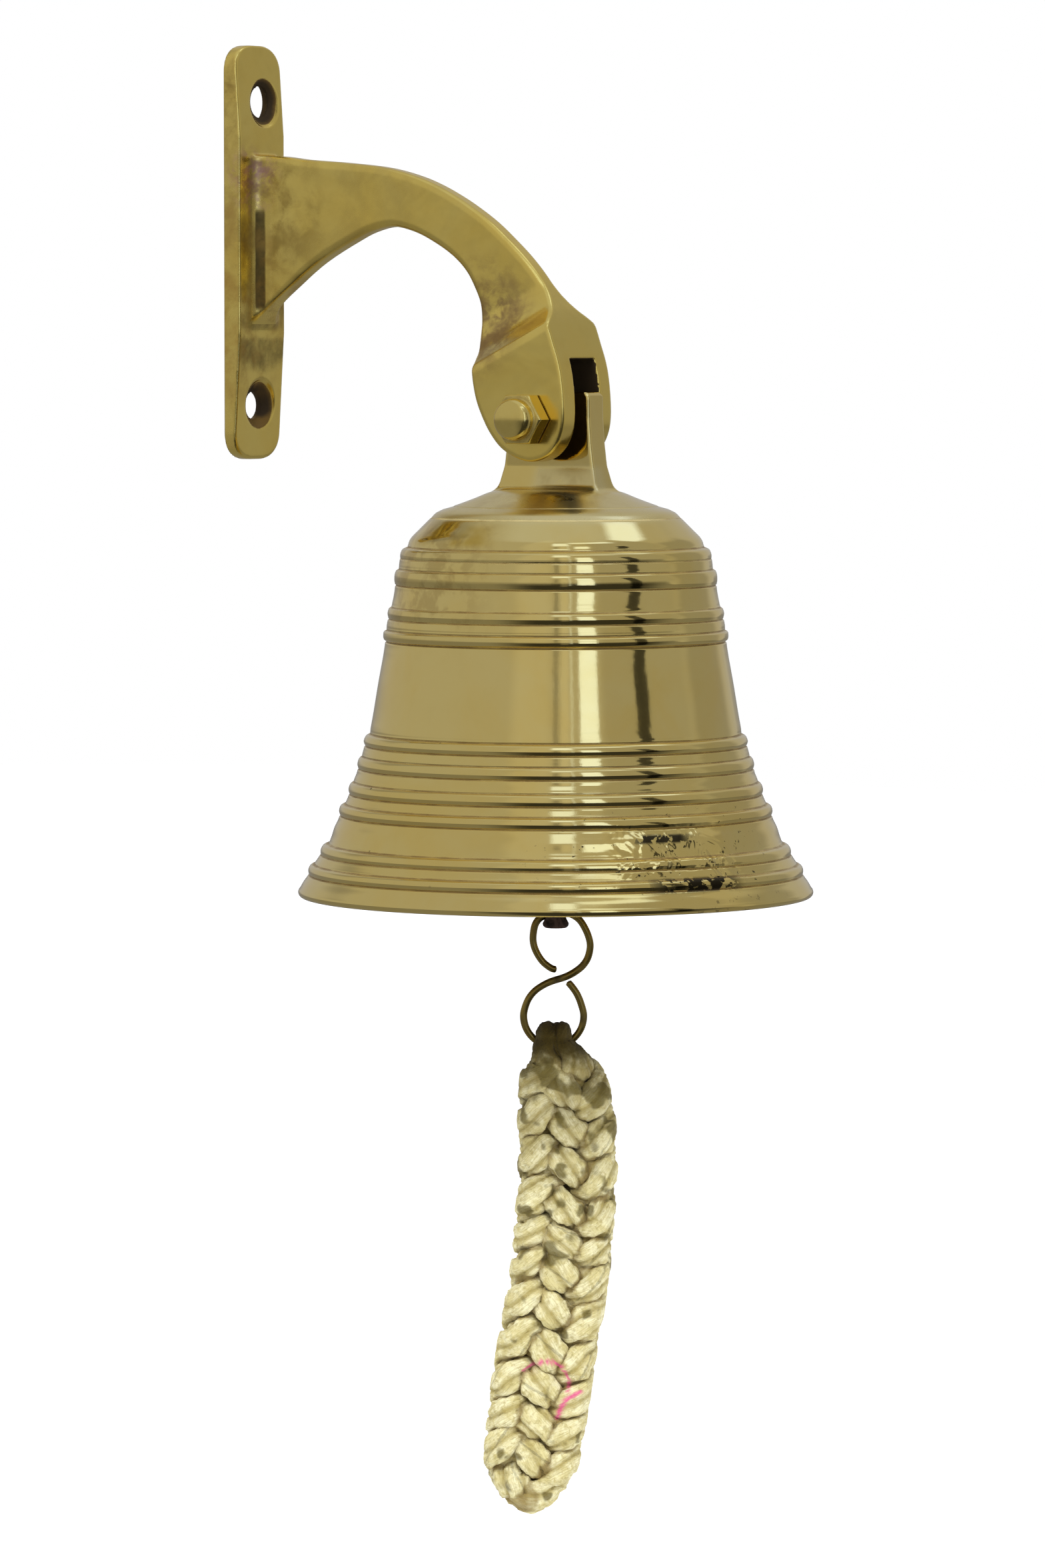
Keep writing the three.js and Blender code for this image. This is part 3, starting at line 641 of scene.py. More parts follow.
# ---------------------------------------------------------------- bell rope: two cords middled over the hook and plaited flat
ROPE = np.array([  # height from the bolt, middle, half width
    [-183.4, -0.4, 8.2], [-188.5, 0.9, 11.0], [-194.1, 2.4, 13.2], [-202.4, 3.0, 14.7], [-216.4, 3.6, 15.1],
    [-227.5, 3.7, 15.4], [-238, 2.6, 15.4], [-250, 1.6, 15.3], [-261, -0.1, 15.5], [-272, -1.9, 15.7],
    [-283.3, -3.8, 15.5], [-294, -5.2, 15.4], [-303, -6.6, 15.2], [-311, -7.2, 14.4], [-316.8, -7.4, 12.6],
    [-321, -7.5, 9.6], [-323.4, -7.6, 5.0]])
_rz = ROPE[::-1, 0]


def rope_mid(z):
    return np.interp(z, _rz, ROPE[::-1, 1])


def rope_half(z):
    return np.interp(z, _rz, ROPE[::-1, 2])


def hook_world(h, d, z):
    """(across, towards the viewer, height from the bolt) to the row frame, mm."""
    return np.stack([PINX + h * CT + d * ST, BELLY + h * ST - d * CT, PINZ + z], -1)


WIRE_Z = -185.5
TURNS = 11                     # quarter turns of the plait between the hook and the tucked end
Z_TOP, Z_BOT = -190.0, -313.5  # heights between which the strands cross
R_CORD = 5.15
A_DEPTH = 3.9


def wander(n, scale, seed):
    """Smooth seeded noise over n samples."""
    r = np.random.default_rng(seed)
    k = r.normal(size=max(4, int(n / scale) + 4))
    x = np.linspace(0, len(k) - 1, n)
    i = np.clip(x.astype(int), 0, len(k) - 2)
    f = x - i
    f = f * f * (3 - 2 * f)
    return k[i] * (1 - f) + k[i + 1] * f


def lump_noise(p, scale, seed):
    """Smooth noise in space, about -1 to 1."""
    lattice = np.random.default_rng(seed).uniform(-1, 1, (32, 32, 32))
    q = p / scale + 100.0
    i = np.floor(q).astype(int)
    f = q - i
    f = f * f * (3 - 2 * f)
    out = np.zeros(p.shape[:-1])
    for a in (0, 1):
        for b in (0, 1):
            for c in (0, 1):
                wgt = (f[..., 0] if a else 1 - f[..., 0]) * (f[..., 1] if b else 1 - f[..., 1]) * (f[..., 2] if c else 1 - f[..., 2])
                out += wgt * lattice[(i[..., 0] + a) % 32, (i[..., 1] + b) % 32, (i[..., 2] + c) % 32]
    return out


def strand(i):
    z = np.arange(-189.0, -315.5, -0.10)
    n = len(z)
    rate = smoothstep(Z_TOP + 1.5, Z_TOP - 3.0, z) * smoothstep(Z_BOT - 1.5, Z_BOT + 3.0, z)
    rate = rate * (1 + 0.16 * wander(n, 70, 3))
    turn = np.cumsum(rate)
    th = np.pi / 4 + i * np.pi / 2 + turn / turn[-1] * TURNS * np.pi / 2
    amp = np.maximum(rope_half(z) - R_CORD + 0.20, 0.4)
    amp = amp * (1 + 0.05 * wander(n, 55, 11 + i))
    dep = A_DEPTH * (1 + 0.07 * wander(n, 50, 31 + i))
    x = rope_mid(z) + amp * np.cos(th) + 0.30 * wander(n, 40, 51 + i)
    d = dep * np.sin(3 * th) + 0.30 * wander(n, 40, 71 + i)
    k = smoothstep(-189.0, -196.0, z)
    cx, cd_ = (4.0 if i in (0, 3) else -4.0), (4.0 if i in (0, 1) else -4.0)
    x = x * k + (rope_mid(z) + cx) * (1 - k)
    d = d * k + cd_ * (1 - k)
    return np.stack([x, d, z], 1)


# how each strand is tucked at the foot, by the corner it arrives at
FOOT = {
    0: [[3.6, 3.3, -317.4], [0.6, 3.0, -318.9], [-2.6, 1.4, -318.4], [-4.6, -0.6, -315.6]],
    1: [[-3.6, 3.9, -316.6], [-2.2, 3.8, -319.4]],
    2: [[-3.6, -3.3, -317.4], [-0.6, -3.0, -318.9], [2.6, -1.4, -318.4], [4.6, 0.6, -315.6]],
    3: [[4.6, -3.4, -316.6], [3.4, -2.6, -318.6]],
}


def foot(i):
    rows = np.array(FOOT[(i + TURNS) % 4], float)
    rows[:, 0] += rope_mid(-318.0)
    return rows


def cord_line(front, back, side):
    a, b = strand(front)[::12], strand(back)[::12]
    c = -0.6 + side * 3.2
    m = rope_mid(-189.0)
    arch = [[-0.6 + side * (3.0 - 1.35 * math.sin(t)), 4.15 * math.cos(t), WIRE_Z + 4.15 * math.sin(t)] for t in np.linspace(0.05, math.pi - 0.05, 9)]
    over = np.array([[0.35 * c + 0.65 * (m + side * 4.0), 4.15, -187.4]] + arch + [[0.35 * c + 0.65 * (m + side * 4.0), -4.15, -187.4]])
    rows = np.vstack([foot(front)[::-1], a[::-1], over, b, foot(back)])
    return catmull(rows, 6)


def cord_mesh(line, seed, n_around=48, step=0.56):
    p, s = resample(line, step)
    for _ in range(4):
        p[1:-1] = 0.25 * p[:-2] + 0.5 * p[1:-1] + 0.25 * p[2:]
    t, u, w = transport(p, (1.0, 0.2, 0.1))
    n = len(p)
    r = R_CORD * (1.03 + 0.035 * wander(n, 16, seed) + 0.025 * wander(n, 7, seed + 1))
    # the crossings in the middle are packed tight, with no daylight through them
    r = r * (1 + 0.10 * (1 - smoothstep(0.0, 0.55, np.abs(p[:, 0] - rope_mid(p[:, 2])) / rope_half(p[:, 2]))) * smoothstep(-188.5, -194.0, p[:, 2]))
    at_hook = smoothstep(-190.5, -186.0, p[:, 2])
    r = r * (1 - 0.34 * at_hook)
    ends = np.minimum(s, s[-1] - s)
    cap = np.sqrt(np.clip(1 - (1 - np.clip(ends / (R_CORD * 0.85), 0, 1)) ** 2, 0.004, 1))
    phi = np.linspace(0, 2 * np.pi, n_around, endpoint=False)
    # four plies laid right-handed (this frame is mirrored, so the sign is turned)
    k = -4 * math.tan(math.radians(36)) / R_CORD
    turn = 4 * phi[None, :] - k * s[:, None] + 0.7 * wander(n, 20, seed + 3)[:, None]
    ply = np.abs(np.cos(turn / 2)) ** 0.62
    depth = 0.29 * (1 - 0.5 * at_hook)
    rr = (r * cap)[:, None] * (1 - depth[:, None] * (1 - ply))
    yarn = -11 * math.tan(math.radians(36)) / R_CORD
    rr = rr + 0.10 * cap[:, None] * np.cos(11 * phi[None, :] - yarn * s[:, None])
    v = p[:, None, :] + rr[..., None] * (u[:, None, :] * np.cos(phi)[None, :, None] + w[:, None, :] * np.sin(phi)[None, :, None])
    out = v - p[:, None, :]
    out = out / np.maximum(np.linalg.norm(out, axis=2, keepdims=True), 1e-6)
    lumps = 0.52 * lump_noise(v, 3.2, seed) + 0.50 * lump_noise(v, 1.6, seed + 1) + 0.34 * lump_noise(v, 0.85, seed + 2)
    v = v + out * (lumps * cap[:, None] * (1 - 0.6 * at_hook[:, None]))[..., None]
    across = phi[None, :] * R_CORD + (k / 4) * -R_CORD * s[:, None]
    along = np.broadcast_to(s[:, None], across.shape)
    fib = np.stack([across * 2.4, along * 0.45, np.full(across.shape, seed * 3.7)], -1)
    groove = np.clip(1 - ply, 0, 1) * cap[:, None]
    return p, s, v, fib, groove, at_hook


def flatten(v):
    """The plait is beaten flat: keep it inside its width and thickness."""
    x, d, z = v[..., 0], v[..., 1], v[..., 2]
    m, half = rope_mid(z), rope_half(z) + 0.5
    half = np.where(z > -183.4, 6.45, np.where(z > -190, np.interp(z, [-190, -183.4], [11.7, 6.9]), half))
    lim_d = np.where(z > -191, np.interp(z, [-191, -186], [8.3, 7.0]), 8.4)
    lim_d = np.where(z < -316, np.interp(z, [-324, -316], [6.0, 8.4]), lim_d)

    def soft(q, lim):
        a = np.abs(q)
        knee = lim - 1.3
        over = np.maximum(a - knee, 0)
        return np.sign(q) * np.where(a > knee, knee + 1.5 * (1 - np.exp(-over / 1.5)), a)

    m = np.where(z > -183.4, -0.6, m)
    a, b = soft(x - m, half), soft(d, lim_d)
    # its edges are round: nothing stands further from the middle than the edge itself
    far, top = np.hypot(a, b), np.minimum(half, 15.6)
    over = np.maximum(far - (top - 1.2), 0)
    held = np.where(over > 0, (top - 1.2 + 1.2 * (1 - np.exp(-over / 1.2))) / np.maximum(far, 1e-6), 1.0)
    return np.stack([m + a * held, b * held, z], -1)


LOOP, LOOP_R = (-0.6, -176.6), 8.9   # the hook's lower loop: centre (across, height) and radius of its wire's middle
WIRE_CLEAR = 1.05 + 0.28             # wire's radius and the gap that the cotton keeps from it


def clear_wire(v, mid):
    """Press each cord aside where it bears on the hook's wire, towards its own side of the wire."""
    def about(q):
        across, up = q[:, 0] - LOOP[0], q[:, 2] - LOOP[1]
        return np.arctan2(up, across), np.hypot(across, up) - LOOP_R, q[:, 1]
    a, q, d = about(v)
    _, qc, dc = about(mid)
    n = np.maximum(np.hypot(qc, dc), 1e-6)
    uq, ud = qc / n, dc / n
    along = q * uq + d * ud
    eq, ed = q - along * uq, d - along * ud
    e = np.hypot(eq, ed)
    need = np.sqrt(np.maximum(WIRE_CLEAR ** 2 - e ** 2, 0))
    hit = (e < WIRE_CLEAR) & (along < need) & (along > -3.0) & (a < -0.35) & (a > -math.pi + 0.35)
    new = np.where(hit, need, along)
    q2, d2 = eq + new * uq, ed + new * ud
    out = v.copy()
    out[:, 0] = np.where(hit, LOOP[0] + (LOOP_R + q2) * np.cos(a), v[:, 0])
    out[:, 2] = np.where(hit, LOOP[1] + (LOOP_R + q2) * np.sin(a), v[:, 2])
    out[:, 1] = np.where(hit, d2, v[:, 1])
    return out


cords = [cord_line(0, 3, 1), cord_line(1, 2, -1)]
parts = [cord_mesh(c, 100 + 17 * i) for i, c in enumerate(cords)]
centres = np.vstack([np.column_stack([flatten(q[0]), np.full(len(q[0]), i), q[1]])[::2] for i, q in enumerate(parts)])
V, Q, FIB, CAV, PLY, tris = [], [], [], [], [], []
base_i = 0
for i, (p, s, v, fib, groove, at_hook) in enumerate(parts):
    n, m = v.shape[:2]
    v = flatten(v)
    fl = v.reshape(-1, 3)
    sv = np.repeat(s, m)
    near_other = np.full(len(fl), 99.0)
    for j in range(0, len(fl), 4000):
        blk = fl[j:j + 4000]
        dd = np.linalg.norm(blk[:, None, :] - centres[None, :, :3], axis=2)
        own = (centres[None, :, 3] == i) & (np.abs(centres[None, :, 4] - sv[j:j + 4000, None]) < 11.0)
        dd[own] = 99.0
        near_other[j:j + 4000] = dd.min(1)
    # pull the surface in where another strand lies over it, so the creases stay open
    press = 1 - smoothstep(R_CORD - 0.6, R_CORD + 1.3, near_other)
    mid = np.repeat(flatten(p), m, 0)
    fl = fl + (mid - fl) * (0.07 * press)[:, None]
    fl = clear_wire(fl, mid)
    cav = 1 - smoothstep(R_CORD - 0.2, R_CORD + 1.9, near_other)
    first, last = base_i, base_i + (n - 1) * m
    Q.append(ring_quads(n, m) + base_i)
    ends_v = np.vstack([fl[:m].mean(0), fl[-m:].mean(0)])
    V.append(np.vstack([fl, ends_v]))
    FIB.append(np.vstack([fib.reshape(-1, 3), fib[0].mean(0), fib[-1].mean(0)]))
    CAV.append(np.concatenate([cav, [0.6, 0.6]]))
    PLY.append(np.concatenate([groove.ravel(), [0, 0]]))
    k = np.arange(m)
    c0, c1 = base_i + n * m, base_i + n * m + 1
    tris.append(np.stack([np.full(m, c0), first + (k + 1) % m, first + k], 1))
    tris.append(np.stack([np.full(m, c1), last + k, last + (k + 1) % m], 1))
    base_i += n * m + 2
V, Q, FIB, CAV, PLY, tris = np.vstack(V), np.vstack(Q), np.vstack(FIB), np.concatenate(CAV), np.concatenate(PLY), np.vstack(tris)
W = hook_world(V[:, 0], V[:, 1], V[:, 2])
vol = np.einsum("ij,ij->i", W[Q[:, 0]], np.cross(W[Q[:, 1]], W[Q[:, 2]])).sum() + np.einsum("ij,ij->i", W[Q[:, 0]], np.cross(W[Q[:, 2]], W[Q[:, 3]])).sum()
if vol < 0:
    Q, tris = Q[:, ::-1], tris[:, ::-1]
# a stray coloured thread caught in the plait, as paint on the front strands: (across, height)
THREAD = [[(-9.6, -281.2), (-6.0, -279.4), (-2.7, -278.4), (0.1, -279.0), (2.8, -281.8), (4.0, -284.7), (3.6, -288.0)],
          [(7.3, -287.5), (3.4, -289.8), (1.6, -292.4), (0.5, -295.5)]]
pink = np.zeros(len(V))
for line, wide in zip(THREAD, (0.36, 0.58)):
    ln = catmull(np.array(line), 12)
    for j in range(0, len(V), 8000):
        dd = np.hypot(V[j:j + 8000, 0, None] - ln[None, :, 0], V[j:j + 8000, 2, None] - ln[None, :, 1]).min(1)
        pink[j:j + 8000] = np.maximum(pink[j:j + 8000], (1 - smoothstep(wide * 0.6, wide * 1.5, dd)) * (V[j:j + 8000, 1] > 1.0))
ROPE_TOP = (PINZ - 179.0) / 1000.0
ROPE_LOW = (PINZ - 323.5) / 1000.0
M_COTTON = cotton("cotton", ROPE_TOP, ROPE_LOW)
rope = to_mesh("rope_plait", W, Q, "rope", replaces=("bell_rope",), slot="cotton", mat=M_COTTON, tris=tris,
               attrs={"fib": FIB, "cavity": CAV, "ply": PLY, "pink": pink})

# ---------------------------------------------------------------- bell
FINE = np.array([
    [30.0, -25.75], [31.5, -26.15], [33.4, -26.7], [35.2, -27.6], [36.8, -29.1], [38.3, -30.6],
    [40.6, -32.9], [42.8, -35.2], [44.0, -37.5], [45.4, -38.6], [45.95, -40.2], [46.1, -42.0], [46.5, -43.9],
    [47.2, -44.8], [47.6, -46.3], [47.65, -48.6], [47.45, -49.2], [47.8, -52], [48.5, -54.8], [49.3, -55.9],
    [49.65, -57.4], [49.6, -58.7], [49.9, -60.8], [50.2, -62.0], [50.85, -62.9], [50.95, -64.7], [50.4, -65.6],
    [50.8, -68.9], [51.6, -73.4], [52.4, -77.8], [53.1, -82], [53.8, -86.3], [54.4, -89.6], [55.1, -92.6],
    [56.2, -93.6], [56.75, -95.2], [56.6, -96.3], [57.5, -99.3], [58.3, -100.5], [58.65, -102.2], [58.6, -103.2],
    [60.0, -106.8], [60.9, -107.9], [61.3, -109.6], [61.25, -110.7], [62.4, -113.2], [63.7, -114.2],
    [64.1, -115.8], [64.0, -116.9], [65.4, -120.4], [67.2, -124.9], [68.9, -125.9], [69.6, -127.4],
    [69.8, -128.6], [71.5, -131.0], [72.8, -132.0], [73.25, -133.4], [73.3, -134.4], [74.75, -136.8],
    [75.9, -138.9]])
GROOVES = [(-29.1, 0.12), (-37.7, 0.42), (-41.1, 0.20), (-44.2, 0.34), (-48.9, 0.42), (-55.4, 0.36), (-58.9, 0.36),
           (-62.1, 0.34), (-65.5, 0.46), (-92.75, 0.40), (-96.3, 0.42), (-99.35, 0.34), (-103.1, 0.42), (-106.9, 0.36),
           (-110.6, 0.42), (-113.4, 0.36), (-116.9, 0.46), (-125.2, 0.40), (-128.5, 0.42), (-131.2, 0.36), (-134.4, 0.46)]


def monotone(x, y, xs):
    """Monotone cubic through (x, y)."""
    h = np.diff(x)
    d = np.diff(y) / h
    m = np.zeros(len(x))
    m[0], m[-1] = d[0], d[-1]
    for i in range(1, len(x) - 1):
        if d[i - 1] * d[i] > 0:
            w1, w2 = 2 * h[i] + h[i - 1], h[i] + 2 * h[i - 1]
            m[i] = (w1 + w2) / (w1 / d[i - 1] + w2 / d[i])
    k = np.clip(np.searchsorted(x, xs) - 1, 0, len(x) - 2)
    t = (xs - x[k]) / h[k]
    return ((1 + 2 * t) * (1 - t) ** 2 * y[k] + t * (1 - t) ** 2 * h[k] * m[k]
            + t * t * (3 - 2 * t) * y[k + 1] + t * t * (t - 1) * h[k] * m[k + 1])


zs = [np.arange(25.75, 138.9, 0.9)]
for g, dep in GROOVES:
    zs.append(-g + np.array([-1.5, -1.1, -0.8, -0.6, -0.45, -0.33, -0.22, -0.11, 0, 0.11, 0.22, 0.33, 0.45, 0.6, 0.8, 1.1, 1.5]))
zs = np.unique(np.round(np.clip(np.concatenate(zs), 25.75, 138.9), 3))
zs = zs[np.concatenate([[True], np.diff(zs) > 0.07])]


def outer_r(zz):
    r = monotone(-FINE[:, 1], FINE[:, 0], zz)
    for g, dep in GROOVES:
        r = r - 0.8 * dep * np.exp(-((zz + g) / 0.25) ** 2)
        r = r - 0.42 * dep * np.exp(-((zz + g + 0.45) / 0.62) ** 2)
    return r


r_out = outer_r(zs)
# tarnish in the grooves between the beads, with painted shade along them
dirt_and_shade = np.zeros(len(zs))
for g, dep in GROOVES:
    dirt_and_shade = np.maximum(dirt_and_shade, (0.55 + 0.6 * dep) * np.exp(-((zs + g) / 0.34) ** 2))
e = 0.04
n_out = np.stack([np.full(len(zs), 2 * e), outer_r(zs + e) - outer_r(zs - e)], 1)   # (radial, up): r grows downward
outer_pts = np.stack([r_out, -zs], 1)
rim_a = np.linspace(math.radians(32), math.radians(-150), 12)
rim_c = (74.75, -139.5)
rim = np.array([[rim_c[0] + 1.42 * math.cos(a), rim_c[1] + 1.42 * math.sin(a)] for a in rim_a])
rim_n = np.array([[math.cos(a), math.sin(a)] for a in rim_a])
INNER = np.array([[72.6, -139.4], [69.4, -135.6], [65.0, -130.0], [60.8, -123.4], [57.4, -114.6], [54.0, -103.8],
                  [50.7, -92.0], [48.0, -78.0], [45.7, -62.0], [43.1, -48.0], [41.3, -41.0], [38.3, -36.4],
                  [33.5, -33.2], [26.0, -31.0], [14.0, -30.2], [11.2, -30.7], [10.2, -33.2], [9.0, -34.0], [4.0, -34.0]])
inner_pts = catmull(INNER, 5)
it = np.gradient(inner_pts, axis=0)
inner_n = np.stack([it[:, 1], -it[:, 0]], 1)
inner_n *= np.where((inner_n[:, 0] < 0) | ((np.abs(inner_n[:, 0]) < 1e-6) & (inner_n[:, 1] < 0)), 1, -1)[:, None]
prof = np.vstack([[[0, -26.9], [20, -26.9], [29.6, -26.4], [29.75, -25.95]], outer_pts, rim, inner_pts, [[0, -34.0]]])
pn = np.vstack([[[0, 1], [0, 1], [0, 1], [0.3, 1]], n_out / np.linalg.norm(n_out, axis=1, keepdims=True), rim_n, inner_n, [[0, -1]]])
tarn_and_shade = np.concatenate([[0.6, 0.6, 0.6, 0.8], dirt_and_shade, np.full(len(rim), 0.05), np.full(len(inner_pts), 0.42), [0.6]])
bell = lathe("bell_body", prof, 256, "bell", (PINX, BELLY, PINZ), attrs={"tarnish_and_shade": tarn_and_shade}, normals=pn,
             replaces=("bell",), slot="bell_brass", mat=M_BELL)

# crown and lug, run together with a small fillet
lug_front = [(-19.4, -24), (-18.0, -21.6), (-16.7, -18.6), (-15.4, -13.4), (-14.6, -7.0), (-14.1, 0), (-14.0, 6.6), (-12.6, 8.2),
             (12.6, 8.2), (14.0, 6.6), (14.1, 0), (14.6, -7.0), (15.4, -13.4), (16.7, -18.6), (18.0, -21.6), (19.4, -24)]
lug_side = [(-8.4, -24), (-6.4, -22.0), (-5.1, -19.4), (-4.3, -14.2), (-4.3, 8.2), (4.3, 8.2), (4.3, -14.2), (5.1, -19.4), (6.4, -22.0), (8.4, -24)]
t_lf, t_ls = Table(lug_front, 12, 0.2), Table(lug_side, 16, 0.2)
crown = [(0, -20.6), (16, -20.9), (19, -21.4), (24, -23.5), (28, -24.9), (30.0, -25.65), (30.7, -26.3), (30.5, -27.0), (29, -27.2), (0, -26.8)]
crown_pts = catmull([(0.0, -20.6), (8, -20.7), (16, -20.9), (19.5, -21.6), (24, -23.4), (28, -24.9), (30.0, -25.62)], 6)
crown = [tuple(x) for x in crown_pts] + [(30.6, -26.1), (30.4, -26.9), (29, -27.2), (0, -27.0)]
t_cr = Table(crown + [(-3, -27.0), (-3, -20.6)], 12, 0.2)


def sdf_crown(x, y, z):
    rho = np.hypot(x, y)
    body = t_cr(rho, z)
    lug = r_inter(t_lf(x, z), t_ls(y, z), 0.9)
    hole = np.hypot(x, z) - 4.5
    lug = r_inter(lug, -hole, 0.35)
    return r_union(body, lug, 1.3)


v, q, nn, hollow, edge = sdf_piece(sdf_crown, (-31.4, -31.4, -27.9), (31.4, 31.4, 9.0), 0.42)
rho = np.hypot(v[:, 0], v[:, 1])
tar_and_shade = np.clip(hollow * 1.1 - 0.34, 0, 0.8)
# tarnish and painted shade in the groove round the crown's edge
tar_and_shade = np.maximum(tar_and_shade, smoothstep(29.9, 30.4, rho) * 0.6)
to_mesh("bell_crown_lug", v + [PINX, BELLY, PINZ], q, "bell", slot="bell_brass", normals=nn,
        attrs={"tarnish_and_shade": tar_and_shade}, mat=M_BELL)

# ---------------------------------------------------------------- wall bracket
outer = catmull([
    (-PINX + 1.5, 78.6), (-94.3, 78.0), (-86, 77.0), (-70.7, 75.8), (-55.5, 74.0), (-45, 71.3), (-38.5, 68.8),
    (-33.5, 66.4), (-27.7, 63.2), (-19.5, 57.8), (-12.8, 52.2), (-8.4, 48.2), (-4.4, 44.0), (-1.7, 40.7),
    (0.6, 37.6), (2.9, 34.4), (5.0, 31.4), (7.0, 27.8), (9.1, 22.0), (10.8, 17.0), (11.8, 12.5), (12.5, 6.0),
    (12.6, 0.5), (11.9, -3.8), (9.7, -8.2), (6.2, -11.2), (1.6, -12.4), (-3.2, -11.6), (-9.0, -8.6), (-13.1, -4.0),
    (-15.9, 0.9), (-17.8, 5.5), (-18.9, 10.2), (-19.4, 14.0)], 4)
innerl = catmull([
    (-19.6, 16.2), (-21.2, 20.2), (-22.3, 24.3), (-22.6, 29.0), (-23.1, 33.7), (-25.2, 38.6), (-28.0, 43.2), (-32.9, 47.9),
    (-40.7, 52.6), (-46.8, 55.2), (-54.4, 56.7), (-62.5, 55.1), (-68.7, 52.4), (-80.4, 46.2), (-89.1, 40.0),
    (-98.0, 33.0), (-102.6, 26.5), (-105.5, 18.5)], 4)
arm_poly = np.vstack([outer, innerl, [[-PINX + 1.5, 18.5]]]) + [PINX, PINZ]
t_arm = Table(arm_poly, 10, 0.25)
PW = 12.1
PE = PH
end = []
for yy, zz in ((1, 1), (-1, 1), (-1, -1), (1, -1)):
    b = [np.array(k) for k in ((PW, PE - 8.0), (PW, PE - 2.6), (PW - 4.2, PE), (2.5, PE))]
    ts = np.linspace(0, 1, 16)
    if yy * zz < 0:
        ts = ts[::-1]
    for t in ts:
        pt = (1 - t) ** 3 * b[0] + 3 * t * (1 - t) ** 2 * b[1] + 3 * t * t * (1 - t) * b[2] + t ** 3 * b[3]
        end.append((yy * pt[0], zz * pt[1]))
t_plate = Table(end, 10, 0.25)
SLOPE = 0.506
NS = math.hypot(1, SLOPE)
step_poly = [(-80, -CW), (0, -CW), (7.0, -3.9), (8.2, -3.5), (150, -3.5), (150, 3.5), (8.2, 3.5), (7.0, 3.9), (0, CW), (-80, CW)]
holes = [(2.1, 45.35, [(-3, -1), (6.2, -1), (6.2, 2.15), (4.4, 3.05), (7.7, 5.20), (8.5, 8.2), (-3, 8.2)]),
         (0.4, -45.95, [(-3, -1), (4.1, -1), (4.1, 1.9), (7.7, 4.55), (8.5, 7.5), (-3, 7.5)])]


def sdf_bracket(x, y, z):
    outline = t_plate(y, z)
    face = np.interp(z, [-62.15, -24.15, 35.15, 62.15], [3.55, 5.8, 5.8, 3.95])
    # soften the two bends in the face
    plate = r_inter(r_inter(outline, x - face, 0.9), -x, 0.3)
    for yc, zc, poly in holes:
        m = (np.abs(y - yc) < 12) & (np.abs(z - zc) < 12) & (x < 12)
        if m.any():
            d = np.full(plate.shape, 9.0)
            d[m] = poly_sdf(np.hypot(y[m] - yc, z[m] - zc), x[m], poly)
            plate = np.where(m, r_inter(plate, -d, 0.35), plate)
    s = (-SLOPE * (x - PINX) + (z - (PINZ + 24.6))) / NS
    ay = np.abs(y)
    # half thickness against s: cheeks, slanting step with a soft upper corner, web
    cheek = ay - CW
    web = ay - 3.5
    slope = ((ay - CW) * 8.0 + s * 10.0) / math.hypot(8.0, 10.0)
    thick = r_union(web, r_inter(cheek, slope, 1.2), 5.0)
    flare = np.maximum(np.maximum(6.6 - np.hypot(x - 12.4, ay - 10.1), x - 12.4), ay - 10.1)
    thick = np.minimum(thick, np.where(z > PINZ + 10, flare, 9.0))
    r_edge = 0.85 + 0.95 * np.clip((s - 2.0) / 8.0, 0, 1) * np.clip((x - 10) / 12.0, 0.2, 1)
    arm = r_inter(t_arm(x, z), thick, r_edge)
    slot = np.maximum(np.abs(y - 0.3) - 6.9, z - (PINZ + 17.6))
    arm = np.where(x > 70, r_inter(arm, -slot, 0.45), arm)
    bore = np.hypot(x - PINX, z - PINZ) - 4.35
    arm = np.where(x > 70, r_inter(arm, -bore, 0.4), arm)
    r_root = 0.15 + 1.6 * smoothstep(26.5, 30.0, z) + 0.45 * smoothstep(-28.0, -31.0, z)
    return r_union(plate, arm, r_root)


v, q, nn, hollow, edge = sdf_piece(sdf_bracket, (-0.9, -CW - 0.9, -PH - 0.9), (PINX + 13.6, CW + 0.9, PH + 0.9), 0.55)
tar_and_shade = np.clip(hollow * 1.35 - 0.30, 0, 1)
# painted shade: the inside of the slot between the cheeks is darkened
inside = (np.abs(v[:, 1] - 0.3) < 6.95) & (v[:, 0] > 80) & (v[:, 2] < PINZ + 17.7)
tar_and_shade = np.maximum(tar_and_shade, 0.85 * inside)
grime_and_shade = 0.75 * inside
for yc, zc, poly in holes:
    rr = np.hypot(v[:, 1] - yc, v[:, 2] - zc)
    # painted shade in the holes: their insides are darkened
    inner = smoothstep(7.6, 6.6, rr) * (v[:, 0] < 5.6)
    tar_and_shade = np.maximum(tar_and_shade, inner)
    # painted shade: the throat is black; the lower side of the lower hole's countersink, which faces up into the light,
    # gets less of it (painted light)
    lit = smoothstep(-1.0, -5.5, v[:, 2] - zc) * (zc < 0)
    grime_and_shade = np.maximum(grime_and_shade, inner * (1 - 0.85 * lit) * (0.55 + 0.45 * smoothstep(6.8, 4.6, rr)))
tar_and_shade = np.maximum(tar_and_shade, 0.3 * (v[:, 0] < 0.2))
# painted dark reflection on the flare round the arm's root
root = smoothstep(5.9, 8.0, v[:, 0]) * smoothstep(14.5, 11.0, v[:, 0]) * smoothstep(9.6, 7.5, np.abs(v[:, 1])) * smoothstep(-32, -27, v[:, 2]) * smoothstep(22, 12, v[:, 2])
tar_and_shade = np.maximum(tar_and_shade, 0.34 * root)
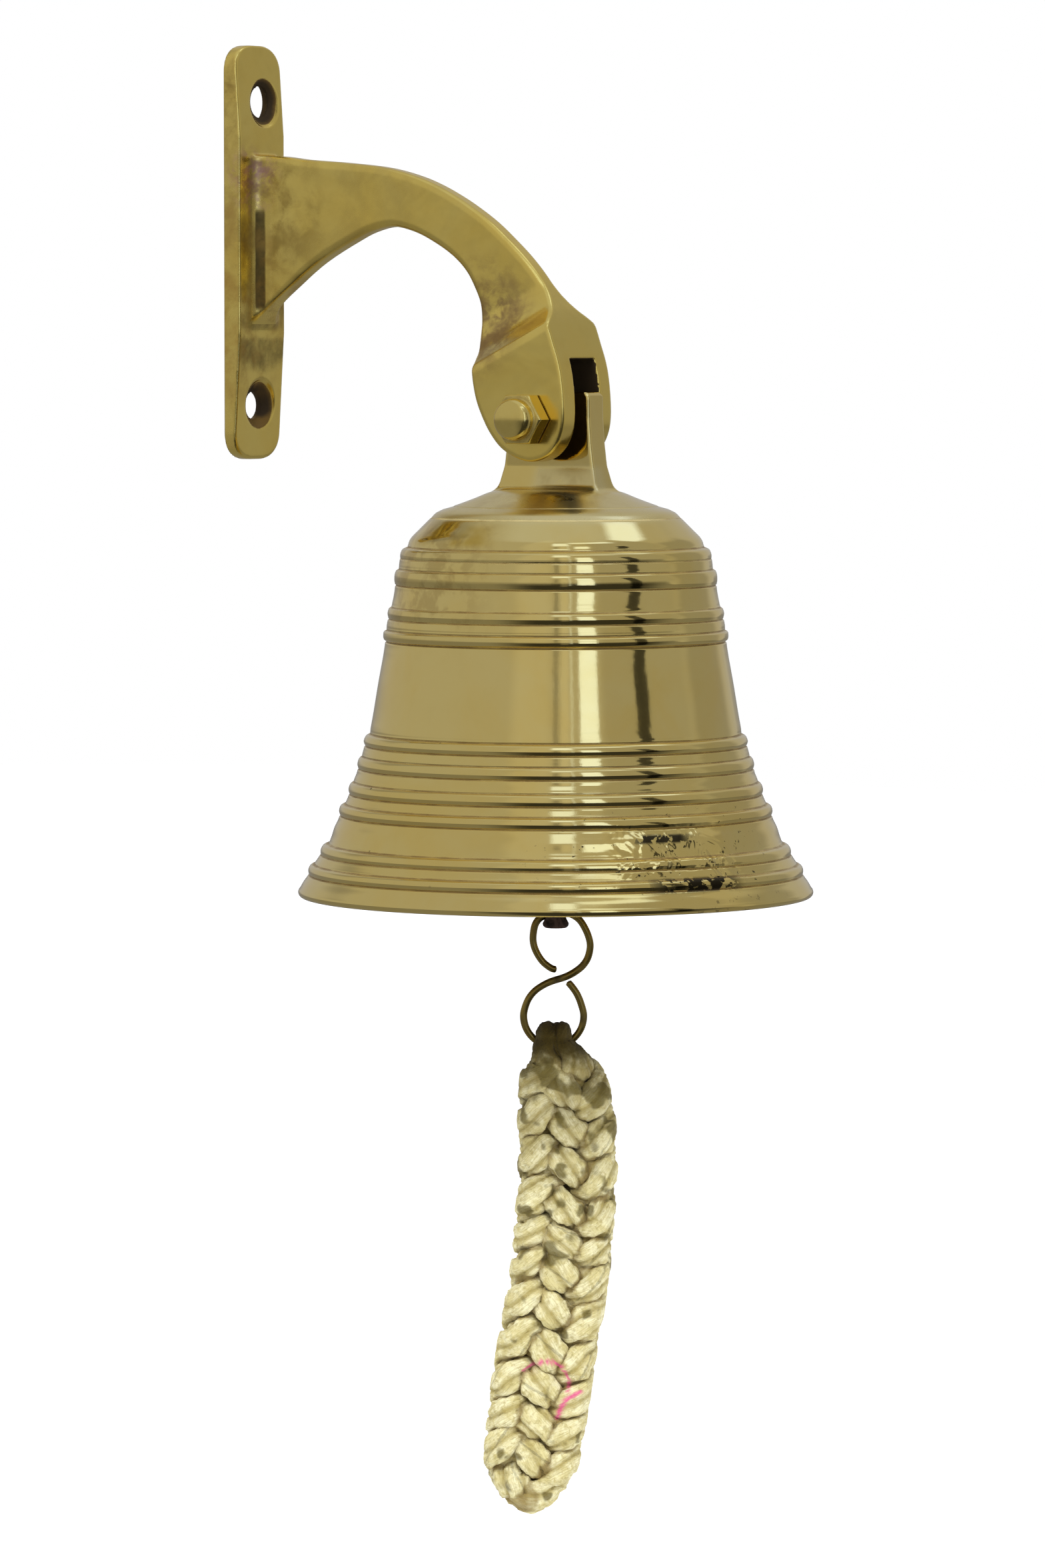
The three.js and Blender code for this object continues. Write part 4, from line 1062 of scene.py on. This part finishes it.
# painted shade on the plate's front face beside and under the arm
front = smoothstep(4.6, 5.4, v[:, 0]) * (v[:, 0] < 6.6) * (nn[:, 0] > 0.75)
beside = front * smoothstep(26, 14, v[:, 2]) * smoothstep(-27, -22, v[:, 2])
under = front * smoothstep(-22, -27, v[:, 2]) * smoothstep(-42, -35, v[:, 2])
tar_and_shade = np.maximum(tar_and_shade, 0.30 * np.maximum(beside, under))
grime_and_shade = np.maximum(grime_and_shade, 0.46 * beside)
grime_and_shade = np.maximum(grime_and_shade, 0.48 * under)
# painted dark reflection along the bottom of the hollow between the arm and the plate
line = smoothstep(6.8, 7.5, v[:, 0]) * smoothstep(10.3, 9.2, v[:, 0]) * (np.abs(v[:, 1]) < 7.2) * smoothstep(-20, -15, v[:, 2]) * smoothstep(16, 11, v[:, 2])
grime_and_shade = np.maximum(grime_and_shade, 0.76 * line)
tar_and_shade = np.maximum(tar_and_shade, 0.48 * (np.abs(nn[:, 1]) > 0.8) * (v[:, 0] < 5.2) * (np.abs(v[:, 1]) > 10))
to_mesh("bracket_casting", v, q, "bracket", replaces=("wall_bracket",), slot="bracket_brass", normals=nn,
        attrs={"tarnish_and_shade": tar_and_shade, "grime_and_shade": grime_and_shade}, mat=M_BRACKET)

# ---------------------------------------------------------------- pivot bolt and cap nut
HY = CW + 0.3
dome = [(8.2 * math.cos(a), HY + 3.6 + 6.0 * math.sin(a)) for a in np.linspace(0.05, math.pi / 2, 14)][:-1]
bolt = [(0, -CW - 7.2), (2.6, -CW - 7.2), (3.2, -CW - 7.15), (3.9, -CW - 6.5), (4.0, -CW - 6.3), (4.0, -CW), (4.0, HY - 0.02), (4.1, HY),
        (7.9, HY), (8.1, HY + 0.1), (8.2, HY + 0.35)] + dome + [(0, HY + 9.6)]
lathe("pivot_bolt_fine", bolt, 96, "bracket", (PINX, 0, PINZ), axis="Y", attrs={"tarnish_and_shade": np.interp(np.arange(len(bolt)), [0, 8, 10, 14], [0.5, 0.6, 0.5, 0.05])},
      replaces=("pivot_bolt",), slot="bolt_brass", mat=M_BOLT)
NY = -CW - 0.3


def sdf_nut(x, y, z):
    yy = NY - y                     # out from the cheek
    ang = [(0.0, 1.0), (math.cos(math.pi / 6), 0.5), (math.cos(math.pi / 6), -0.5)]
    hx = np.abs(x * ang[0][0] + z * ang[0][1])
    for a in ang[1:]:
        hx = np.maximum(hx, np.abs(x * a[0] + z * a[1]))
    rho = np.hypot(x, z)
    hexa = r_inter(hx - 7.1, np.maximum(yy - 5.4, -yy), 0.45)
    cham = (rho - 7.35 + (yy - 5.4) * 1.6) / math.hypot(1, 1.6)
    hexa = r_inter(hexa, cham, 0.35)
    cap_ = r_inter(rho - 6.1, np.hypot(rho, yy + 3.2) - 13.4, 1.3)
    cap_ = np.maximum(cap_, 2.0 - yy)
    nut = r_union(hexa, cap_, 0.5)
    bore = np.maximum(rho - 4.3, yy - 7.6)
    return np.maximum(nut, -bore)


v, q, nn, hollow, edge = sdf_piece(sdf_nut, (-8.9, NY - 11.0, -8.9), (8.9, NY + 0.7, 8.9), 0.22, eps=0.12)
tar_and_shade = np.clip(hollow * 1.8 - 0.30, 0, 1)
out_y = NY - v[:, 1]
tar_and_shade = np.maximum(tar_and_shade, 0.75 * smoothstep(0.9, 0.0, out_y) + 0.55 * np.exp(-((out_y - 5.6) / 0.5) ** 2))
to_mesh("cap_nut_fine", v + [PINX, 0, PINZ], q, "bracket", replaces=("pivot_cap_nut",), slot="bolt_brass", normals=nn,
        attrs={"tarnish_and_shade": tar_and_shade}, mat=M_BOLT)

# ---------------------------------------------------------------- staple, clapper
STZ, SR, SWIRE = -42.0, 5.5, 2.0
LKZ = STZ - SR - (5.6 - 1.8 - SWIRE - 0.3)


def sdf_staple(x, y, z):
    ring = np.hypot(np.hypot(x, z - STZ) - SR, y) - SWIRE
    shank = r_inter(np.hypot(x, y) - 3.2, np.maximum(z + 26.0, -36.6 - z), 0.4)
    nut = r_inter(np.hypot(x, y) - 5.6, np.abs(z + 35.2) - 1.0, 0.4)
    return r_union(r_union(ring, shank, 0.8), nut, 0.4)


v, q, nn, hollow, edge = sdf_piece(sdf_staple, (-8.2, -6.2, -50.2), (8.2, 6.2, -25.4), 0.3, eps=0.15)
to_mesh("staple_fine", v + [PINX, BELLY, PINZ], q, "bell", replaces=("clapper_staple",), slot="bolt_brass", normals=nn,
        attrs={"tarnish_and_shade": np.clip(hollow + 0.25, 0, 1)}, mat=M_BOLT)
HOOK_TOP, TAIL_END = -146.4, -150.4


def sdf_clapper(x, y, z):
    ring = np.hypot(np.hypot(y, z - LKZ) - 5.6, x) - 1.8
    rho = np.hypot(x, y)
    rad = np.interp(z, [-151, -140.5, -136.5, -60, -56], [3.9, 3.9, 3.2, 3.2, 2.3])
    rod = r_inter(rho - rad, np.maximum(z - (LKZ - 5.0), TAIL_END - z), 1.3)
    d = r_union(ring, rod, 1.2)
    h_, p_ = x * CT + y * ST, -x * ST + y * CT      # along the eye, and across it
    eye = np.hypot(p_, z - HOOK_TOP) - 2.35
    return r_inter(d, -eye, 0.4)


v, q, nn, hollow, edge = sdf_piece(sdf_clapper, (-5.26, -8.56, -151.39), (5.32, 8.4, -40.0), 0.38, eps=0.15)
to_mesh("clapper_forging", v + [PINX, BELLY, PINZ], q, "clapper", replaces=("clapper_rod",), slot="clapper_iron", normals=nn,
        attrs={"tarnish_and_shade": hollow}, mat=M_IRON)
BALL_R, BALL_Z = 15.0, -117.0


def ball_profile():
    a = np.linspace(math.pi / 2 - 0.245, -math.pi / 2 + 0.245, 60)
    r, z = BALL_R * np.cos(a), BALL_R * np.sin(a)
    r = r + 0.12 * np.exp(-(z / 0.35) ** 2)        # a faint parting line
    pts = [(3.5, 8.0)] + [(3.5, z[0] - 0.35)] + list(zip(r, z)) + [(3.5, z[-1] + 0.35), (3.5, -8.0)]
    return np.array(pts)


bp = ball_profile()
seg = 72
aa = np.linspace(0, 2 * np.pi, seg, endpoint=False)
bv = np.stack([bp[:, 0][:, None] * np.cos(aa), bp[:, 0][:, None] * np.sin(aa), np.broadcast_to(bp[:, 1][:, None], (len(bp), seg))], -1).reshape(-1, 3)
bq = ring_quads(len(bp), seg)
closing = np.stack([(len(bp) - 1) * seg + np.arange(seg), (len(bp) - 1) * seg + (np.arange(seg) + 1) % seg, (np.arange(seg) + 1) % seg, np.arange(seg)], 1)
bq = np.vstack([bq, closing])
mid_q = bq[len(bq) // 2]
if np.dot(np.cross(bv[mid_q[1]] - bv[mid_q[0]], bv[mid_q[3]] - bv[mid_q[0]]), bv[mid_q[0]]) < 0:
    bq = bq[:, ::-1]
to_mesh("clapper_ball_fine", bv + [PINX, BELLY, PINZ + BALL_Z], bq, "clapper", replaces=("clapper_ball",), slot="clapper_iron",
        attrs={"tarnish_and_shade": np.zeros(len(bv))}, mat=M_IRON)

# ---------------------------------------------------------------- S-hook
pts = [
    (0.3, -162.75), (-0.95, -162.55), (-2.3, -161.75), (-3.77, -160.5), (-5.15, -158.6), (-6.2, -156.4), (-6.68, -154.2),
    (-6.6, -151.9), (-6.0, -149.3), (-4.75, -147.6), (-2.5, -146.5), (0.2, -146.0), (3.0, -145.95), (5.35, -146.75),
    (7.1, -148.1), (8.55, -150.3), (9.65, -152.8), (10.2, -155.25), (10.0, -157.5), (9.3, -159.7), (7.9, -161.7),
    (5.8, -163.4), (3.87, -164.5), (1.9, -165.3), (-0.1, -165.9), (-2.05, -166.6), (-4.0, -167.6), (-6.0, -169.0), (-7.6, -170.8)]
for a in range(155, 386, 23):
    t = math.radians(a)
    pts.append((-0.6 + 8.9 * math.cos(t), -176.6 + 8.9 * math.sin(t)))
pts += [(6.9, -171.3), (6.05, -169.6), (4.8, -167.85), (3.55, -166.4)]
hl = catmull([(h, 0.0, z) for h, z in pts], 12)
hl, hs = resample(hl, 0.32)
ht, hu, hw = transport(hl, (0.0, 1.0, 0.0))
na = 20
ph = np.linspace(0, 2 * np.pi, na, endpoint=False)
er = np.minimum(hs, hs[-1] - hs)
hr = 1.05 * np.sqrt(np.clip(1 - (1 - np.clip(er / 0.5, 0, 1)) ** 2 * 0.85, 0, 1)) * (1 + 0.02 * wander(len(hl), 20, 5))
hv = hl[:, None, :] + hr[:, None, None] * (hu[:, None, :] * np.cos(ph)[None, :, None] + hw[:, None, :] * np.sin(ph)[None, :, None])
hv = hv.reshape(-1, 3)
hn = np.repeat(hl, na, 0)
hq = ring_quads(len(hl), na)
hv = np.vstack([hv, hl[0], hl[-1]])
ck = np.arange(na)
ht_ = np.vstack([np.stack([np.full(na, len(hv) - 2), (ck + 1) % na, ck], 1),
                 np.stack([np.full(na, len(hv) - 1), (len(hl) - 1) * na + ck, (len(hl) - 1) * na + (ck + 1) % na], 1)])
hw3 = hook_world(hv[:, 0], hv[:, 1], hv[:, 2])
hc3 = hook_world(hn[:, 0], hn[:, 1], hn[:, 2])
fnn = np.cross(hw3[hq[:, 1]] - hw3[hq[:, 0]], hw3[hq[:, 3]] - hw3[hq[:, 0]])
if (fnn * (hw3[hq[:, 0]] - hc3[hq[:, 0]])).sum() < 0:
    hq, ht_ = hq[:, ::-1], ht_[:, ::-1]
to_mesh("s_hook_fine", hw3, hq, "hook", replaces=("s_hook",), slot="hook_brass", tris=ht_,
        attrs={"tarnish_and_shade": np.clip(0.25 + 0.18 * wander(len(hw3), 300, 9), 0, 0.7)}, mat=M_HOOK)

# ---------------------------------------------------------------- surroundings
SC.view_settings.view_transform = "Standard"
SC.view_settings.look = "None"
SC.view_settings.exposure = 0.0
SC.view_settings.gamma = 1.0

# floor, well below the rope
fm = bpy.data.materials.new("floor")
nt = nodes_of(fm)
T = NT(nt)
p = T.new("ShaderNodeBsdfPrincipled")
out = T.new("ShaderNodeOutputMaterial")
nt.links.new(p.outputs[0], out.inputs[0])
p.inputs["Base Color"].default_value = (0.86, 0.86, 0.85, 1)
p.inputs["Roughness"].default_value = 0.9
p.inputs["Emission Color"].default_value = (1.0, 1.0, 0.99, 1)
p.inputs["Emission Strength"].default_value = 0.78
me = bpy.data.meshes.new("floor")
S, FZ = 48.0, -3.8
me.from_pydata([(-S, -S, FZ), (S, -S, FZ), (S, S, FZ), (-S, S, FZ)], [], [(0, 1, 2, 3)])
floor = bpy.data.objects.new("floor", me)
me.materials.append(fm)
SC.collection.objects.link(floor)
floor.visible_glossy = False

# the room: an even grey studio, a tall soft panel, a dark doorway, darker below
w = bpy.data.worlds.new("studio")
SC.world = w
w.use_nodes = True
nt = w.node_tree
nt.nodes.clear()
T = NT(nt)
tc = T.new("ShaderNodeTexCoord")


def dot(vec):
    n = T.new("ShaderNodeVectorMath", operation="DOT_PRODUCT")
    T.put(n.inputs[0], tc.outputs["Generated"])
    n.inputs[1].default_value = vec
    return n.outputs["Value"]


f_, r_, e_ = dot((ST, -CT, 0)), dot((CT, ST, 0)), dot((0, 0, 1))
az = T.math("MULTIPLY", T.math("ARCTAN2", r_, f_), 180 / math.pi)
el = T.math("MULTIPLY", T.math("ARCSINE", e_), 180 / math.pi)


def box_mask(a0, a1, e0, e1, sa=2.0, se=2.0, lean=0.0):
    x = T.math("MULTIPLY_ADD", el, lean, az) if lean else az
    m = T.math("MULTIPLY", T.step(x, a0 - sa, a0 + sa), T.step(x, a1 - sa, a1 + sa, 1.0, 0.0))
    k = T.math("MULTIPLY", T.step(el, e0 - se, e0 + se), T.step(el, e1 - se, e1 + se, 1.0, 0.0))
    return T.math("MULTIPLY", m, k)


el_h = T.math("MULTIPLY_ADD", T.math("MULTIPLY", T.step(az, 84, 96), T.step(az, 146, 158, 1.0, 0.0)), 10.0, el)
lum = T.step(el_h, -4.0, 4.0, 0.24, 0.455)
# the floor is darkest in front and to the right
dark = T.math("MULTIPLY", T.math("MULTIPLY", T.step(az, -50, -12), T.step(az, 60, 95, 1.0, 0.0)), T.step(el, -3.0, 3.0, 1.0, 0.0))
lum = T.math("MULTIPLY_ADD", dark, -0.20, lum)
lum = T.math("MULTIPLY_ADD", box_mask(-28, -3, -5, 80, 5, 6), 0.07, lum)
lum = T.math("MULTIPLY_ADD", box_mask(30, 95, 0, 60, 4, 6), -0.075, lum)
lum = T.math("MULTIPLY_ADD", box_mask(98, 140, -12, 34, 6, 6), -0.13, lum)
lum = T.math("MULTIPLY_ADD", box_mask(-155, -125, 22, 52, 8, 6), -0.14, lum)
lum = T.math("MULTIPLY_ADD", box_mask(-1.5, 1.5, 2, 30, 0.7, 3), -0.16, lum)
lum = T.math("MULTIPLY_ADD", box_mask(3.5, 8.5, -20, 34, 0.8, 3), 0.12, lum)
day = T.math("MAXIMUM", T.math("MULTIPLY", box_mask(15.5, 27.5, -4, 33.5, 0.6, 1.2),
    T.math("MULTIPLY_ADD", T.math("MAXIMUM", box_mask(14, 29, 6.0, 6.9, 0.5, 0.35), box_mask(14, 29, 19.6, 20.6, 0.5, 0.35)), -0.55, 1.0)),
    T.math("MULTIPLY", box_mask(-3, 12, 38, 58, 2, 3), 0.85))
day = T.math("MAXIMUM", day, T.math("MULTIPLY", box_mask(14, 66, 53, 64, 6, 3), 0.80))
day = T.math("MAXIMUM", day, T.math("MULTIPLY", box_mask(95, 128, 52, 68, 4, 3), 0.9))
day = T.math("MAXIMUM", day, T.math("MULTIPLY", box_mask(9.5, 11.0, -10, 40, 0.5, 3), 0.35))
day = T.math("MAXIMUM", day, T.math("MULTIPLY", T.step(el, 58, 76), 0.14))
door = box_mask(55, 64, -30, 32, 0.8, 1.5, 0.10)
lum = T.math("MULTIPLY", lum, T.math("MULTIPLY_ADD", door, -0.86, 1.0))
room = T.new("ShaderNodeCombineColor")
T.put(room.inputs[0], lum)
T.put(room.inputs[1], T.math("MULTIPLY", lum, 0.985))
T.put(room.inputs[2], T.math("MULTIPLY", lum, 0.99))
tint_out = T.mix(day, room.outputs[0], (1.06, 1.26, 1.95))
bg_room = T.new("ShaderNodeBackground")
T.put(bg_room.inputs[0], tint_out)
bg_cam = T.new("ShaderNodeBackground")
bg_cam.inputs[0].default_value = (1.0, 1.0, 1.0, 1)
bg_cam.inputs[1].default_value = 1.0
lp = T.new("ShaderNodeLightPath")
mixs = T.new("ShaderNodeMixShader")
T.put(mixs.inputs[0], lp.outputs["Is Camera Ray"])
nt.links.new(bg_room.outputs[0], mixs.inputs[1])
nt.links.new(bg_cam.outputs[0], mixs.inputs[2])
out = T.new("ShaderNodeOutputWorld")
nt.links.new(mixs.outputs[0], out.inputs[0])


def area(name, loc, aim, size, power, colour=(1, 1, 1), glossy=False):
    ld = bpy.data.lights.new(name, "AREA")
    ld.shape = "RECTANGLE"
    ld.size, ld.size_y = size
    ld.energy = power
    ld.color = colour
    o = bpy.data.objects.new(name, ld)
    o.location = loc
    o.rotation_mode = "QUATERNION"
    o.rotation_quaternion = (Vector(aim) - Vector(loc)).to_track_quat("-Z", "Y")
    SC.collection.objects.link(o)
    o.visible_camera = False
    o.visible_glossy = glossy
    return o


C0 = Vector((PINX, BELLY, PINZ - 120)) / 1000.0
U_F, U_R = Vector((ST, -CT, 0)), Vector((CT, ST, 0))
area("key", C0 + U_F * 1.3 - U_R * 0.9 + Vector((0, 0, 1.5)), C0, (1.2, 1.2), 34.0)
area("fill", C0 + U_F * 1.2 + U_R * 1.5 + Vector((0, 0, 0.3)), C0, (1.4, 1.6), 14.0)
area("floor wash", (0.2, 1.0, 2.6), (0.2, 1.0, -1.0), (6.0, 6.0), 170.0)
